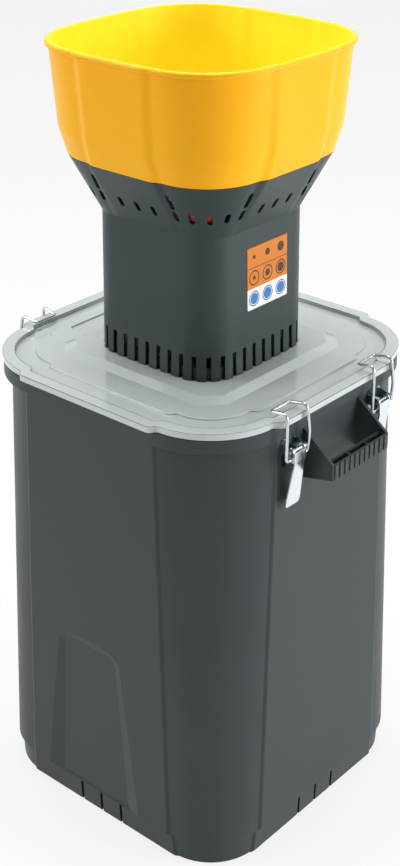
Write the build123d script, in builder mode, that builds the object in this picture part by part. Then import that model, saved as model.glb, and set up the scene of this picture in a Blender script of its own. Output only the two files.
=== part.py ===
"""Electric grain mill: a square bin, a clamped lid, a motor column and a hopper, each piece its own solid.

Frame: millimetres, +Z up, origin under the middle of the bin's floor.
+X and -X are the sides with the carry handles and the latches, +Y is the rear with the switch.
"""
import os
from math import atan2, cos, degrees, pi, radians, sin, sqrt

from build123d import *

os.makedirs("parts", exist_ok=True)

# ----------------------------------------------------------------------------------------------
# Driving dimensions. A "half" is the distance from the axis to the flat of a square outline.
# ----------------------------------------------------------------------------------------------
RUNNING_FIT = 0.05          # radial clearance of a pin or shaft in its hole
LOOSE_FIT = 0.3             # clearance between pieces that only pass each other

# Bin
BIN_HEIGHT = 583.6
BIN_HALF = 199.0
BIN_CORNER_TOP = 90.0       # from the crease to the next side, under the rim
BIN_CORNER_FOOT = 74.0      # the corners tighten towards the foot
BIN_REACH_TOP = 230.8       # from the axis to the middle of a corner
BIN_REACH_FOOT = 245.7
BIN_STEP = 3.0              # the flat sides stand proud of the corners by this much
BIN_BLEND = 7.0             # length of the S-shaped step
BIN_WALL = 3.0
BIN_FLOOR = 4.0
PLINTH_HEIGHT = 34.5
PLINTH_EDGE = 3.0           # height of the sloping step above the plinth
PLINTH_NECK = 4.4           # the plinth's inset right under the step
PLINTH_INSET = 6.0          # and at the floor
FOOT_CHAMFER = 1.5
RIM_HEIGHT = 17.6
RIM_PROUD = 2.0
RIM_CORNER = 105.0

# Arched recess low on the front and the rear of the bin
RECESS_TOP_Z = 249.0
RECESS_SHIFT = 10.0         # off the middle of the side
RECESS_HALF_TOP = 42.0
RECESS_HALF_FOOT = 57.0
RECESS_CORNER = 15.0
RECESS_DEPTH_TOP = 2.2
RECESS_DEPTH_FOOT = 5.5
RECESS_FLARE = 76.0         # slope of the recess's sides, degrees

# Drain notches in the plinth, three a side
NOTCH_PITCH = 34.0
NOTCH_WIDTH = 4.0
NOTCH_DEPTH = 2.2
NOTCH_HEIGHT = 30.0

# Carry handle moulded on each end of the bin
HANDLE_HALF = 54.0          # outer half width over the cheeks
CHEEK_THICK = 3.5
CHEEK_TOP_Z = 566.0
CHEEK_FOOT_Z = 501.0
GRIP_REACH = 44.0           # how far the grip's front stands out from the wall
GRIP_THICK = 13.0
GRIP_TOP_Z = 530.0
GRIP_FOOT_Z = 511.0
GRIP_RIB_COUNT = 11
GRIP_RIB_PITCH = 9.6
GRIP_RIB_WIDTH = 5.0
GRIP_RIB_PROUD = 1.2
GRIP_SKIN = 2.5             # wall round the pockets in the grip's top
GRIP_POCKETS = 3
GRIP_POCKET_DEPTH = 14.0

# Lid, pressed from sheet
SHEET = 1.5
LID_HALF = 207.5
LID_CORNER = 86.5
LID_REACH = 241.6           # from the axis to the middle of a corner
LID_STEP = 9.0
LID_BLEND = 14.0
LID_DRIFT = 0.2             # the steps move towards the middle of the side as contours go inwards
GASKET_HEIGHT = 7.3
HEM_HEIGHT = 8.5
MARGIN_WIDTH = 15.0
MARGIN_DROP = 5.0           # from the margin down to the tray
TRAY_WIDTH = 26.0
PANEL_RISE = 2.6            # from the tray up to the inner panel
PLATFORM_HALF_FOOT = 131.0
PLATFORM_HALF_TOP = 119.0
PLATFORM_CHAMFER_FOOT = 26.0
PLATFORM_CHAMFER_TOP = 24.0
PLATFORM_RISE = 5.5
BEAD_REACH = 153.5          # pressed stiffening bead on the left of the lid, from the axis
BEAD_LENGTH = 140.0
BEAD_WIDTH = 14.0
BEAD_DEPTH = 2.0
GASKET_EDGE_GAP = 4.0
GASKET_WIDTH = 7.5
SHAFT_HOLE_RADIUS = 20.0

# Motor column and the flare that carries the hopper
COLUMN_HEIGHT = 174.0
COLUMN_HALF_FOOT = 97.3
COLUMN_HALF_TOP = 93.8
COLUMN_CORNER_FOOT = 45.5
COLUMN_CORNER_TOP = 37.0
COLUMN_STEP = 0.5
FLARE_HEIGHT = 71.4
FLARE_HALF = 135.7
FLARE_CORNER = 71.0
FLARE_STEP = 5.0
FLARE_BLEND = 15.0
HOUSING_WALL = 3.0
LEDGE_WIDTH = 16.0
LEDGE_THICK = 3.0

# Comb of slots round the foot of the column
COMB_COUNT = 40
COMB_WIDTH = 5.6
COMB_HEIGHT = 30.5

# Air vents in the flare
VENT_Z = 27.5               # height of the low vents above the crease
VENT_WIDTH = 6.4
VENT_LENGTH = 15.0
SIDE_VENT_PITCH = 25.0
CORNER_VENT_ANGLE = 23.3
UPPER_VENT_Z = 46.5
UPPER_VENT_LENGTH = 22.0
UPPER_VENT_ANGLE = 46.6

# Base ring inside the foot of the column
BASE_RING_HEIGHT = 15.5
BASE_RING_WALL = 2.5
BASE_RING_FLANGE = 8.0
BASE_RING_FLANGE_THICK = 2.5
BASE_SCREW_RADIUS = 2.0
BASE_SCREW_SPREAD = 25.0

# Hopper
HOPPER_HEIGHT = 131.4
HOPPER_KNEE_Z = 33.0        # height of the break in the wall above the hopper's lower edge
HOPPER_HALF_KNEE = 145.0
HOPPER_CORNER_KNEE = 83.0
HOPPER_STEP_KNEE = 4.0
HOPPER_HALF_RIM = 151.6
HOPPER_CORNER_RIM = 87.5
HOPPER_STEP_RIM = 3.2
HOPPER_BLEND = 18.0
HOPPER_WALL = 3.0
LIP_HEIGHT = 6.4
LIP_PROUD = 3.6
LIP_ROUND = 1.7
FLOOR_CORNER = 74.0

# Grain outlet, feed gate and grain duct, off the axis in the front right corner
OUTLET_OFFSET = 54.0
DUCT_HALF = 18.0            # inside half width of the duct
DUCT_CORNER = 10.0
DUCT_WALL = 2.0
FUNNEL_HALF = 31.0
FUNNEL_CORNER = 19.0
FUNNEL_HEIGHT = 28.0
GATE_THICK = 2.0
GATE_WIDTH = 44.0
GATE_LENGTH = 48.0
GATE_TRAVEL = 45.0
GATE_FLOOR = 1.2
GATE_PLAY = 0.2
GATE_OVER = 0.6
GATE_RAIL = 3.0
TONGUE_WIDTH = 10.0
TONGUE_SHIFT = 13.0         # the pull tongue is off the gate's middle, towards the axis
TONGUE_REACH = 14.0         # from the flare's wall to the knob
TONGUE_GRIP = 9.0           # length of tongue held in the knob
GATE_TOP_Z = 37.5           # outlet mouth below the hopper's lower edge
KNOB_RADIUS = 11.0
KNOB_LENGTH = 16.0
GUARD_Z = 14.0              # guard grid above the outlet mouth
GUARD_HALF = 34.0
GUARD_WIRE = 2.0
GUARD_BARS = 4
HOPPER_SCREW_RADIUS = 2.5
HOPPER_SCREW_HEAD = 4.8

# Motor
FLANGE_HALF = 83.0
FLANGE_CORNER = 34.0
FLANGE_THICK = 8.0
FLANGE_BOSS_RADIUS = 26.0
FLANGE_BOSS_HEIGHT = 7.0
FLANGE_BOLT_CIRCLE = 72.0
FLANGE_BOLT_RADIUS = 3.0
FLANGE_BOLT_HEAD = 5.5
FLANGE_BOLT_ABOVE = 4.0
CAN_RADIUS = 52.0
CAN_WALL = 2.0
CAN_HEIGHT = 158.0
CAN_WINDOW_HEIGHT = 22.0
CAN_WINDOW_WIDTH = 30.0
CAN_WINDOW_COUNT = 6
BRACKET_THICK = 6.0
BRACKET_SKIRT = 10.0
BRACKET_SKIRT_WALL = 5.0
BRACKET_SCREW_RADIUS = 2.0
BRACKET_SCREW_HEAD = 3.6
SHAFT_RADIUS = 7.5
SHAFT_TOP_RADIUS = 5.0
LOWER_BEARING_RADIUS = 17.5
LOWER_BEARING_WIDTH = 11.0
UPPER_BEARING_RADIUS = 15.0
UPPER_BEARING_WIDTH = 9.0
SEAL_RADIUS = 12.5
SEAL_HEIGHT = 2.5
FAN_RADIUS = 46.0
FAN_HEIGHT = 17.0
FAN_HUB_RADIUS = 13.0
FAN_VANES = 10
FAN_RISE = 5.0              # fan above the flange's boss
CORE_HEIGHT = 66.0
CORE_RISE = 14.0            # stator core above the fan
BORE_RADIUS = 30.0
AIR_GAP = 0.5
COIL_END = 11.0
COIL_THICK = 9.0
COIL_HALF_OUTER = 27.0
COIL_HALF_INNER = 18.0
COMMUTATOR_RADIUS = 14.0
COMMUTATOR_HEIGHT = 13.0
BRUSH_WIDTH = 7.0
BRUSH_HEIGHT = 9.0
BRUSH_LENGTH = 16.0
HOLDER_WALL = 2.0

# Grinding chamber under the lid
CHAMBER_RADIUS = 110.5
CHAMBER_PLATE = 3.0
SIEVE_RADIUS = 100.0
SIEVE_WALL = 1.2
SIEVE_HEIGHT = 45.0
SIEVE_HOLE_RADIUS = 2.5
SIEVE_HOLE_COUNT = 36
SIEVE_HOLE_ROWS = 2
SIEVE_ROW_PITCH = 16.0
CHAMBER_BASE = 2.5
STUD_CIRCLE = 105.0
STUD_RADIUS = 3.0
WING_NUT_HEIGHT = 8.0
WING_SPAN = 30.0
STUD_END = 3.0
BLADE_SPAN = 184.0
BLADE_WIDTH = 26.0
BLADE_THICK = 3.0
BLADE_BEVEL = 1.4
BLADE_DROP = 14.0           # upper blade below the chamber's top plate
BLADE_SPACING = 8.0
SPACER_RADIUS = 13.0
SHAFT_NUT_ACROSS = 22.0
SHAFT_NUT_HEIGHT = 8.0
SHAFT_END = 3.0

# Toggle latches, two on each end
LATCH_Y = 82.0
PIVOT_OUT = 13.0            # lever pivot from the bin's wall
PIVOT_DROP = 30.6           # lever pivot below the rim
BAIL_ARM = 9.0              # bail pivot below the lever pivot
WIRE_RADIUS = 2.0
BAIL_HALF_FOOT = 19.5
BAIL_HALF_TOP = 18.0
BAIL_HALF_BAR = 16.5
BAIL_BAR_INSET = 5.5        # crossbar inside the margin's inner edge
BAIL_BAR_GAP = 0.35         # crossbar above the margin
BAIL_SHOULDER_RISE = 4.5
BAIL_SHOULDER_OUT = 3.2     # shoulder bend outside the lid's edge
BAIL_BEND = 4.5
LATCH_PIN_RADIUS = 2.0
BRACKET_HALF = 12.75
BRACKET_SHEET = 1.5
BRACKET_TOP = 12.0          # bracket plate above the lever pivot
BRACKET_FOOT = 23.0         # bracket plate below the lever pivot
EAR_NOSE = 5.0
EAR_TOP = 7.5
LEVER_HALF_NECK = 9.0
LEVER_HALF_TIP = 12.5
LEVER_EAR_HALF = 10.4
LEVER_SHEET = 1.6
LEVER_LENGTH = 62.0
LEVER_NECK_LENGTH = 10.0
LEVER_LEAN = -10.0          # how far the tip stands out from the neck: it lies back to the bin
LEVER_TIP_ROUND = 4.5
LEVER_PLATE_OUT = 3.4       # plate outside the lever pivot
RIVET_RADIUS = 2.4
RIVET_HEAD = 4.2
RIVET_DROP = 18.0
RIVET_RISE = 7.0
RIVET_TAIL = 2.0            # rivet end inside the bin's wall

# Rear face of the column: switch and cable gland
SWITCH_Z = 95.0             # above the column's foot
SWITCH_HALF_WIDTH = 11.0
SWITCH_HALF_HEIGHT = 17.0
SWITCH_DEPTH = 24.0
BEZEL_LIP = 2.5
BEZEL_THICK = 2.2
ROCKER_HALF_WIDTH = 7.0
ROCKER_HALF_HEIGHT = 12.0
ROCKER_PLAY = 0.5
ROCKER_PIVOT_DEPTH = 3.0
ROCKER_THICK = 3.0          # rocker below its pivot
ROCKER_PROUD = 6.2          # rocker's ends above its pivot
ROCKER_WAIST = 4.6          # rocker's middle above its pivot
ROCKER_TILT = 7.0
ROCKER_POCKET = 10.0
TRUNNION_RADIUS = 1.5
TRUNNION_LENGTH = 1.3
GLAND_Z = 38.0
GLAND_X = -18.0
GLAND_RADIUS = 8.0
GLAND_HEX = 22.0
GLAND_HEX_HEIGHT = 5.0
GLAND_DOME = 11.0
GLAND_DOME_RADIUS = 9.5
GLAND_BORE = 4.0
GLAND_NUT_HEIGHT = 4.0

# Label on the right face of the column
LABEL_WIDTH = 73.0
LABEL_HEIGHT = 77.0
LABEL_THICK = 0.4
LABEL_Y = 7.0
LABEL_Z = 112.5             # label's middle above the column's foot
LABEL_CORNER = 2.0

# ----------------------------------------------------------------------------------------------
# Derived levels
# ----------------------------------------------------------------------------------------------
MARGIN_Z = BIN_HEIGHT + GASKET_HEIGHT + SHEET
HEM_Z = MARGIN_Z - HEM_HEIGHT
TRAY_Z = MARGIN_Z - MARGIN_DROP
PANEL_Z = TRAY_Z + PANEL_RISE
PLATFORM_Z = PANEL_Z + PLATFORM_RISE
CREASE_Z = PLATFORM_Z + COLUMN_HEIGHT
SEAM_Z = CREASE_Z + FLARE_HEIGHT
TOP_Z = SEAM_Z + HOPPER_HEIGHT
COLUMN_TAPER = (COLUMN_HALF_FOOT - COLUMN_HALF_TOP) / COLUMN_HEIGHT
COLUMN_LEAN = atan2(COLUMN_HALF_FOOT - COLUMN_HALF_TOP, COLUMN_HEIGHT)
FLARE_SLOPE = (FLARE_HALF - COLUMN_HALF_TOP) / FLARE_HEIGHT
FLARE_LEAN = atan2(FLARE_HALF - COLUMN_HALF_TOP, FLARE_HEIGHT)
WAY = 1.0                   # how far a cutting tool runs past a face


# ----------------------------------------------------------------------------------------------
# Shared outlines and places
# ----------------------------------------------------------------------------------------------
def square_outline(half, corner, step, blend, reach=None):
    """Draw, in the current sketch, a square whose flat sides stand proud of its round corners.

    Each side runs into its corner arc through an S of two equal tangent arcs, `blend` long and
    `step` deep. The arc is tangent to the sides, or goes through the point at `reach` from the axis.
    """
    centre = half - step - corner
    flat_end = centre - blend
    arc_middle = reach * cos(pi / 4) if reach else centre + corner * cos(pi / 4)
    with BuildLine() as loop:
        for quarter in range(4):
            def turned(x, y):
                return Vector(x, y).rotate(Axis.Z, 90 * quarter)

            ahead, left = turned(0, 1), turned(-1, 0)
            knee, knee_end = turned(half - step / 2, centre - blend / 2), turned(half - step, centre)
            Line(turned(half, -flat_end), turned(half, flat_end))
            TangentArc(turned(half, flat_end), knee, tangent=ahead)
            TangentArc(knee_end, knee, tangent=-ahead)
            back, back_knee = turned(centre, half - step), turned(centre - blend / 2, half - step / 2)
            ThreePointArc(knee_end, turned(arc_middle, arc_middle), back)
            TangentArc(back, back_knee, tangent=left)
            TangentArc(turned(flat_end, half), back_knee, tangent=-left)
    make_face(loop.edges())


def square_section(z, half, corner, step, blend, reach=None):
    """Return the face inside a square outline at height z."""
    with BuildSketch(Plane.XY.offset(z)) as section:
        square_outline(half, corner, step, blend, reach)
    return section.sketch.face()


def square_tower(levels, blend, inset=0.0, mode=Mode.ADD):
    """Loft straight walls through square outlines given as (z, half, corner, step[, reach])."""
    sections = [square_section(z, half - inset, corner - inset, step, blend, *(r - inset for r in reach))
                for z, half, corner, step, *reach in levels]
    loft(sections, ruled=True, mode=mode)


def lid_contour(z, inset, height, mode=Mode.ADD):
    """Raise a prism inside the lid's edge, following its outline at a constant distance."""
    contour = square_section(z, LID_HALF - inset, LID_CORNER - inset * (1 - LID_DRIFT), LID_STEP,
                             LID_BLEND, LID_REACH - inset)
    extrude(contour, amount=height, dir=(0, 0, 1), mode=mode)


def chamfered_square(z, half, cut):
    """Return a square face with its corners cut off, at height z."""
    with BuildSketch(Plane.XY.offset(z)) as section:
        Rectangle(2 * half, 2 * half)
        chamfer(section.vertices(), cut)
    return section.sketch.face()


def platform(z, inset, mode=Mode.ADD):
    """Raise the lid's platform, a low pyramid with its corners cut off."""
    foot = chamfered_square(z, PLATFORM_HALF_FOOT - inset, PLATFORM_CHAMFER_FOOT)
    top = chamfered_square(z + PLATFORM_RISE, PLATFORM_HALF_TOP - inset, PLATFORM_CHAMFER_TOP)
    loft([foot, top], mode=mode)


def comb_places():
    """Return places spaced evenly round the foot of the column, each turned to face outwards."""
    straight = 2 * (COLUMN_HALF_FOOT - COLUMN_CORNER_FOOT)
    arc = COLUMN_CORNER_FOOT * pi / 2
    side = straight + arc
    places = []
    for number in range(COMB_COUNT):
        distance = number * 4 * side / COMB_COUNT + straight / 2
        quarter, along = divmod(distance, side)
        if along <= straight:
            x, y, facing = COLUMN_HALF_FOOT, along - straight / 2, 0.0
        else:
            facing = degrees((along - straight) / COLUMN_CORNER_FOOT)
            centre = COLUMN_HALF_FOOT - COLUMN_CORNER_FOOT
            x = centre + COLUMN_CORNER_FOOT * cos(radians(facing))
            y = centre + COLUMN_CORNER_FOOT * sin(radians(facing))
        spot = Vector(x, y).rotate(Axis.Z, 90 * quarter)
        places.append(Location((spot.X, spot.Y), facing + 90 * quarter))
    return places


def flare_half(z):
    """Return the flare's half width at a height above the floor."""
    return COLUMN_HALF_TOP + (z - CREASE_Z) * FLARE_SLOPE


def vent_planes(rise, side_offsets, corner_angles):
    """Return planes lying in the flare's wall, at side offsets and at angles from each corner."""
    z = CREASE_Z + rise
    half = flare_half(z)
    share = rise / FLARE_HEIGHT
    corner = COLUMN_CORNER_TOP + (FLARE_CORNER - COLUMN_CORNER_TOP) * share
    step = COLUMN_STEP + (FLARE_STEP - COLUMN_STEP) * share
    centre = half - step - corner
    spots = [(half, offset, 0.0) for offset in side_offsets]
    spots += [(centre + corner * cos(radians(45 + turn)), centre + corner * sin(radians(45 + turn)), 45 + turn)
              for turn in corner_angles]
    planes = []
    for quarter in range(4):
        for x, y, facing in spots:
            spot = Vector(x, y).rotate(Axis.Z, 90 * quarter)
            heading = radians(facing + 90 * quarter)
            outward = (cos(heading) * cos(FLARE_LEAN), sin(heading) * cos(FLARE_LEAN), -sin(FLARE_LEAN))
            planes.append(Plane((spot.X, spot.Y, z), x_dir=(-sin(heading), cos(heading), 0), z_dir=outward))
    return planes


def column_face(direction, along, rise):
    """Return the plane of a side face of the column: 'right' or 'rear', with its y axis up the face."""
    reach = COLUMN_HALF_FOOT - rise * COLUMN_TAPER
    tilt_out, tilt_up = cos(COLUMN_LEAN), sin(COLUMN_LEAN)
    if direction == "right":
        return Plane((reach, along, PLATFORM_Z + rise), x_dir=(0, 1, 0), z_dir=(tilt_out, 0, tilt_up))
    return Plane((along, reach, PLATFORM_Z + rise), x_dir=(-1, 0, 0), z_dir=(0, tilt_out, tilt_up))


def outlet_square(half, corner):
    """Draw a rounded square at the grain outlet, in the current sketch."""
    with Locations((OUTLET_OFFSET, -OUTLET_OFFSET)):
        RectangleRounded(2 * half, 2 * half, corner)


def save(builder, name):
    """Label a finished piece and write it to its file."""
    builder.part.label = name
    export_step(builder.part, f"parts/{name}.step")


# ----------------------------------------------------------------------------------------------
# Bin
# ----------------------------------------------------------------------------------------------
HANDLE_ENDS = (1, -1)
recess_top = BIN_HALF - RECESS_DEPTH_TOP
recess_foot = BIN_HALF - RECESS_DEPTH_FOOT
recess_rise = RECESS_TOP_Z - PLINTH_HEIGHT
recess_length = sqrt(recess_rise ** 2 + (recess_top - recess_foot) ** 2)


def plinth_levels(rise):
    """Return the outlines of the plinth's neck and of the wall's lower edge, `rise` higher."""
    return [(PLINTH_HEIGHT - PLINTH_EDGE + rise, BIN_HALF - PLINTH_NECK, BIN_CORNER_FOOT - 2 * PLINTH_NECK,
             BIN_STEP, BIN_REACH_FOOT - PLINTH_NECK),
            (PLINTH_HEIGHT + rise, BIN_HALF, BIN_CORNER_FOOT, BIN_STEP, BIN_REACH_FOOT)]


def recess_block(side, sink, trim):
    """Build the flaring block of an arched recess on the front (-1) or the rear (1) of the bin.

    `sink` moves its floor inwards and `trim` widens it, which leaves the wall behind it.
    """
    lean = atan2(recess_top - recess_foot, recess_rise)
    inward = recess_foot - sink
    base = Plane((side * RECESS_SHIFT, side * inward, PLINTH_HEIGHT), x_dir=(-side, 0, 0),
                 z_dir=(0, side * cos(lean), -sin(lean)))
    with BuildSketch(base) as floor:
        with BuildLine() as arch:
            half_foot, half_top = RECESS_HALF_FOOT + trim, RECESS_HALF_TOP + trim
            foot, top = -trim, recess_length + trim
            FilletPolyline((half_foot, foot), (half_top, top), (-half_top, top), (-half_foot, foot),
                           radius=RECESS_CORNER)
            Line((-half_foot, foot), (half_foot, foot))
        make_face(arch.edges())
    extrude(floor.sketch, amount=RECESS_DEPTH_FOOT + RIM_PROUD, taper=-RECESS_FLARE)


with BuildPart() as recess_cut:
    for side in (-1, 1):
        recess_block(side, 0.0, 0.0)

with BuildPart() as recess_bump:
    for side in (-1, 1):
        recess_block(side, BIN_WALL, BIN_WALL * (1 - sin(radians(RECESS_FLARE))) / cos(radians(RECESS_FLARE)))

wall_top = (BIN_HALF, BIN_CORNER_TOP, BIN_STEP, BIN_REACH_TOP)
with BuildPart() as bin_inside:
    square_tower([(BIN_FLOOR, BIN_HALF - PLINTH_INSET, BIN_CORNER_FOOT - 2 * PLINTH_INSET, BIN_STEP,
                   BIN_REACH_FOOT - PLINTH_INSET)]
                 + plinth_levels(BIN_WALL)
                 + [(BIN_HEIGHT - RIM_HEIGHT, *wall_top), (BIN_HEIGHT + WAY, *wall_top)],
                 BIN_BLEND, inset=BIN_WALL)
    add(recess_bump.part, mode=Mode.SUBTRACT)

with BuildPart() as bin_body:
    square_tower([(z, BIN_HALF - narrow, BIN_CORNER_FOOT - 2 * narrow, BIN_STEP, BIN_REACH_FOOT - narrow)
                  for z, narrow in ((0, PLINTH_INSET + FOOT_CHAMFER), (FOOT_CHAMFER, PLINTH_INSET))]
                 + plinth_levels(0.0)
                 + [(BIN_HEIGHT - RIM_HEIGHT, *wall_top)], BIN_BLEND)
    with BuildSketch(Plane.XY.offset(BIN_HEIGHT - RIM_HEIGHT)):
        RectangleRounded(2 * (BIN_HALF + RIM_PROUD), 2 * (BIN_HALF + RIM_PROUD), RIM_CORNER)
    extrude(amount=RIM_HEIGHT)
    add(recess_cut.part, mode=Mode.SUBTRACT)
    add(bin_inside.part, mode=Mode.SUBTRACT)
    # three drain notches in the middle of each plinth side
    for turn in range(4):
        outward = Vector(1, 0).rotate(Axis.Z, 90 * turn)
        sideways = Vector(0, 1).rotate(Axis.Z, 90 * turn)
        face = Plane(outward * (BIN_HALF - PLINTH_INSET - FOOT_CHAMFER), x_dir=sideways, z_dir=outward)
        with BuildSketch(face):
            with GridLocations(NOTCH_PITCH, 1, 3, 1):
                Rectangle(NOTCH_WIDTH, NOTCH_HEIGHT, align=(Align.CENTER, Align.MIN))
        extrude(amount=-NOTCH_DEPTH, mode=Mode.SUBTRACT)
        with BuildSketch(face):
            with GridLocations(NOTCH_PITCH, 1, 3, 1):
                Rectangle(NOTCH_WIDTH, NOTCH_HEIGHT, align=(Align.CENTER, Align.MIN))
        extrude(amount=PLINTH_INSET + WAY, mode=Mode.SUBTRACT)
    # carry handles: two cheeks and a ribbed grip on each end
    for end in HANDLE_ENDS:
        grip_front = BIN_HALF + GRIP_REACH - GRIP_RIB_PROUD
        for cheek in (1, -1):
            inner = cheek * (HANDLE_HALF - CHEEK_THICK / 2)
            with BuildSketch(Plane((0, inner, 0), x_dir=(end, 0, 0), z_dir=(0, -end, 0))):
                with BuildLine() as side_view:
                    Polyline((BIN_HALF - BIN_WALL / 2, CHEEK_FOOT_Z), (grip_front, GRIP_FOOT_Z),
                             (grip_front, GRIP_TOP_Z), (BIN_HALF - BIN_WALL / 2, CHEEK_TOP_Z), close=True)
                make_face(side_view.edges())
            extrude(amount=CHEEK_THICK / 2, both=True)
        with BuildSketch(Plane.XY.offset(GRIP_FOOT_Z)):
            with Locations((end * (grip_front - (GRIP_THICK - GRIP_RIB_PROUD) / 2), 0)):
                Rectangle(GRIP_THICK - GRIP_RIB_PROUD, 2 * HANDLE_HALF)
            with Locations((end * (grip_front + GRIP_RIB_PROUD / 2), 0)):
                with GridLocations(1, GRIP_RIB_PITCH, 1, GRIP_RIB_COUNT):
                    Rectangle(GRIP_RIB_PROUD, GRIP_RIB_WIDTH)
        extrude(amount=GRIP_TOP_Z - GRIP_FOOT_Z)
        # pockets in the grip's top, with webs between them
        pocket_pitch = 2 * (HANDLE_HALF - CHEEK_THICK) / GRIP_POCKETS
        pocket_width = GRIP_THICK - GRIP_RIB_PROUD - 2 * GRIP_SKIN
        with BuildSketch(Plane.XY.offset(GRIP_TOP_Z)):
            with Locations((end * (grip_front - GRIP_SKIN - pocket_width / 2), 0)):
                with GridLocations(1, pocket_pitch, 1, GRIP_POCKETS):
                    Rectangle(pocket_width, pocket_pitch - GRIP_SKIN)
        extrude(amount=-GRIP_POCKET_DEPTH, mode=Mode.SUBTRACT)
    # rivet holes for the latch brackets
    for end in HANDLE_ENDS:
        with BuildSketch(Plane((end * BIN_HALF, 0, 0), x_dir=(0, end, 0), z_dir=(end, 0, 0))):
            for rise in (RIVET_RISE, -RIVET_DROP):
                with Locations((LATCH_Y, BIN_HEIGHT - PIVOT_DROP + rise),
                               (-LATCH_Y, BIN_HEIGHT - PIVOT_DROP + rise)):
                    Circle(RIVET_RADIUS + RUNNING_FIT)
        extrude(amount=-BIN_WALL - 3 * RIVET_TAIL, mode=Mode.SUBTRACT)
save(bin_body, "bin")

# ----------------------------------------------------------------------------------------------
# Lid and gasket
# ----------------------------------------------------------------------------------------------
FLANGE_BOLT_SPOTS = [(FLANGE_BOLT_CIRCLE, 0), (0, FLANGE_BOLT_CIRCLE),
                     (-FLANGE_BOLT_CIRCLE, 0), (0, -FLANGE_BOLT_CIRCLE)]
base_screw_reach = COLUMN_HALF_FOOT - HOUSING_WALL - LOOSE_FIT - BASE_RING_WALL - BASE_RING_FLANGE / 2
BASE_SCREW_SPOTS = [(side * base_screw_reach, along) for side in (1, -1)
                    for along in (BASE_SCREW_SPREAD, -BASE_SCREW_SPREAD)]
BASE_SCREW_SPOTS += [(along, side * base_screw_reach) for side in (1, -1)
                     for along in (BASE_SCREW_SPREAD, -BASE_SCREW_SPREAD)]

with BuildPart() as lid_underside:
    lid_contour(HEM_Z, SHEET, HEM_HEIGHT - SHEET)
    lid_contour(TRAY_Z - SHEET, MARGIN_WIDTH - SHEET, MARGIN_DROP, mode=Mode.SUBTRACT)
    lid_contour(TRAY_Z - SHEET, MARGIN_WIDTH + TRAY_WIDTH + SHEET, PANEL_RISE)
    platform(PANEL_Z - SHEET, SHEET)

with BuildPart() as lid:
    lid_contour(HEM_Z, 0, HEM_HEIGHT)
    lid_contour(TRAY_Z, MARGIN_WIDTH, MARGIN_DROP, mode=Mode.SUBTRACT)
    lid_contour(TRAY_Z, MARGIN_WIDTH + TRAY_WIDTH, PANEL_RISE)
    platform(PANEL_Z, 0)
    add(lid_underside.part, mode=Mode.SUBTRACT)
    with BuildSketch(Plane.XY.offset(PLATFORM_Z)):
        Circle(SHAFT_HOLE_RADIUS)
        outlet_square(DUCT_HALF + DUCT_WALL + LOOSE_FIT, DUCT_CORNER + DUCT_WALL + LOOSE_FIT)
        with Locations(FLANGE_BOLT_SPOTS):
            Circle(FLANGE_BOLT_RADIUS + LOOSE_FIT)
        with Locations(BASE_SCREW_SPOTS):
            Circle(BASE_SCREW_RADIUS + LOOSE_FIT)
    extrude(amount=-SHEET - WAY, mode=Mode.SUBTRACT)
    # stiffening bead pressed down into the panel
    with BuildSketch(Plane.XY.offset(PANEL_Z - SHEET)):
        with Locations((-BEAD_REACH, 0)):
            SlotOverall(BEAD_LENGTH, BEAD_WIDTH, rotation=90)
    extrude(amount=-BEAD_DEPTH)
    with BuildSketch(Plane.XY.offset(PANEL_Z)):
        with Locations((-BEAD_REACH, 0)):
            SlotOverall(BEAD_LENGTH - 2 * SHEET, BEAD_WIDTH - 2 * SHEET, rotation=90)
    extrude(amount=-BEAD_DEPTH, mode=Mode.SUBTRACT)
save(lid, "lid")

with BuildPart() as lid_gasket:
    lid_contour(BIN_HEIGHT, GASKET_EDGE_GAP, GASKET_HEIGHT)
    lid_contour(BIN_HEIGHT, GASKET_EDGE_GAP + GASKET_WIDTH, GASKET_HEIGHT, mode=Mode.SUBTRACT)
save(lid_gasket, "lid_gasket")

# ----------------------------------------------------------------------------------------------
# Column housing and base ring
# ----------------------------------------------------------------------------------------------
housing_levels = [(PLATFORM_Z, COLUMN_HALF_FOOT, COLUMN_CORNER_FOOT, COLUMN_STEP),
                  (CREASE_Z, COLUMN_HALF_TOP, COLUMN_CORNER_TOP, COLUMN_STEP),
                  (SEAM_Z, FLARE_HALF, FLARE_CORNER, FLARE_STEP)]
gate_mouth_z = SEAM_Z - GATE_TOP_Z
gate_z = gate_mouth_z - GATE_OVER - GATE_THICK
tongue_y = -OUTLET_OFFSET + TONGUE_SHIFT
tongue_z = gate_z + GATE_THICK / 2
HOPPER_SCREW_REACH = FLARE_HALF - HOUSING_WALL - LEDGE_WIDTH / 2
HOPPER_SCREW_SPOTS = [(HOPPER_SCREW_REACH, 0), (0, HOPPER_SCREW_REACH),
                      (-HOPPER_SCREW_REACH, 0), (0, -HOPPER_SCREW_REACH)]
rear_switch = column_face("rear", 0, SWITCH_Z)
rear_gland = column_face("rear", GLAND_X, GLAND_Z)

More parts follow.
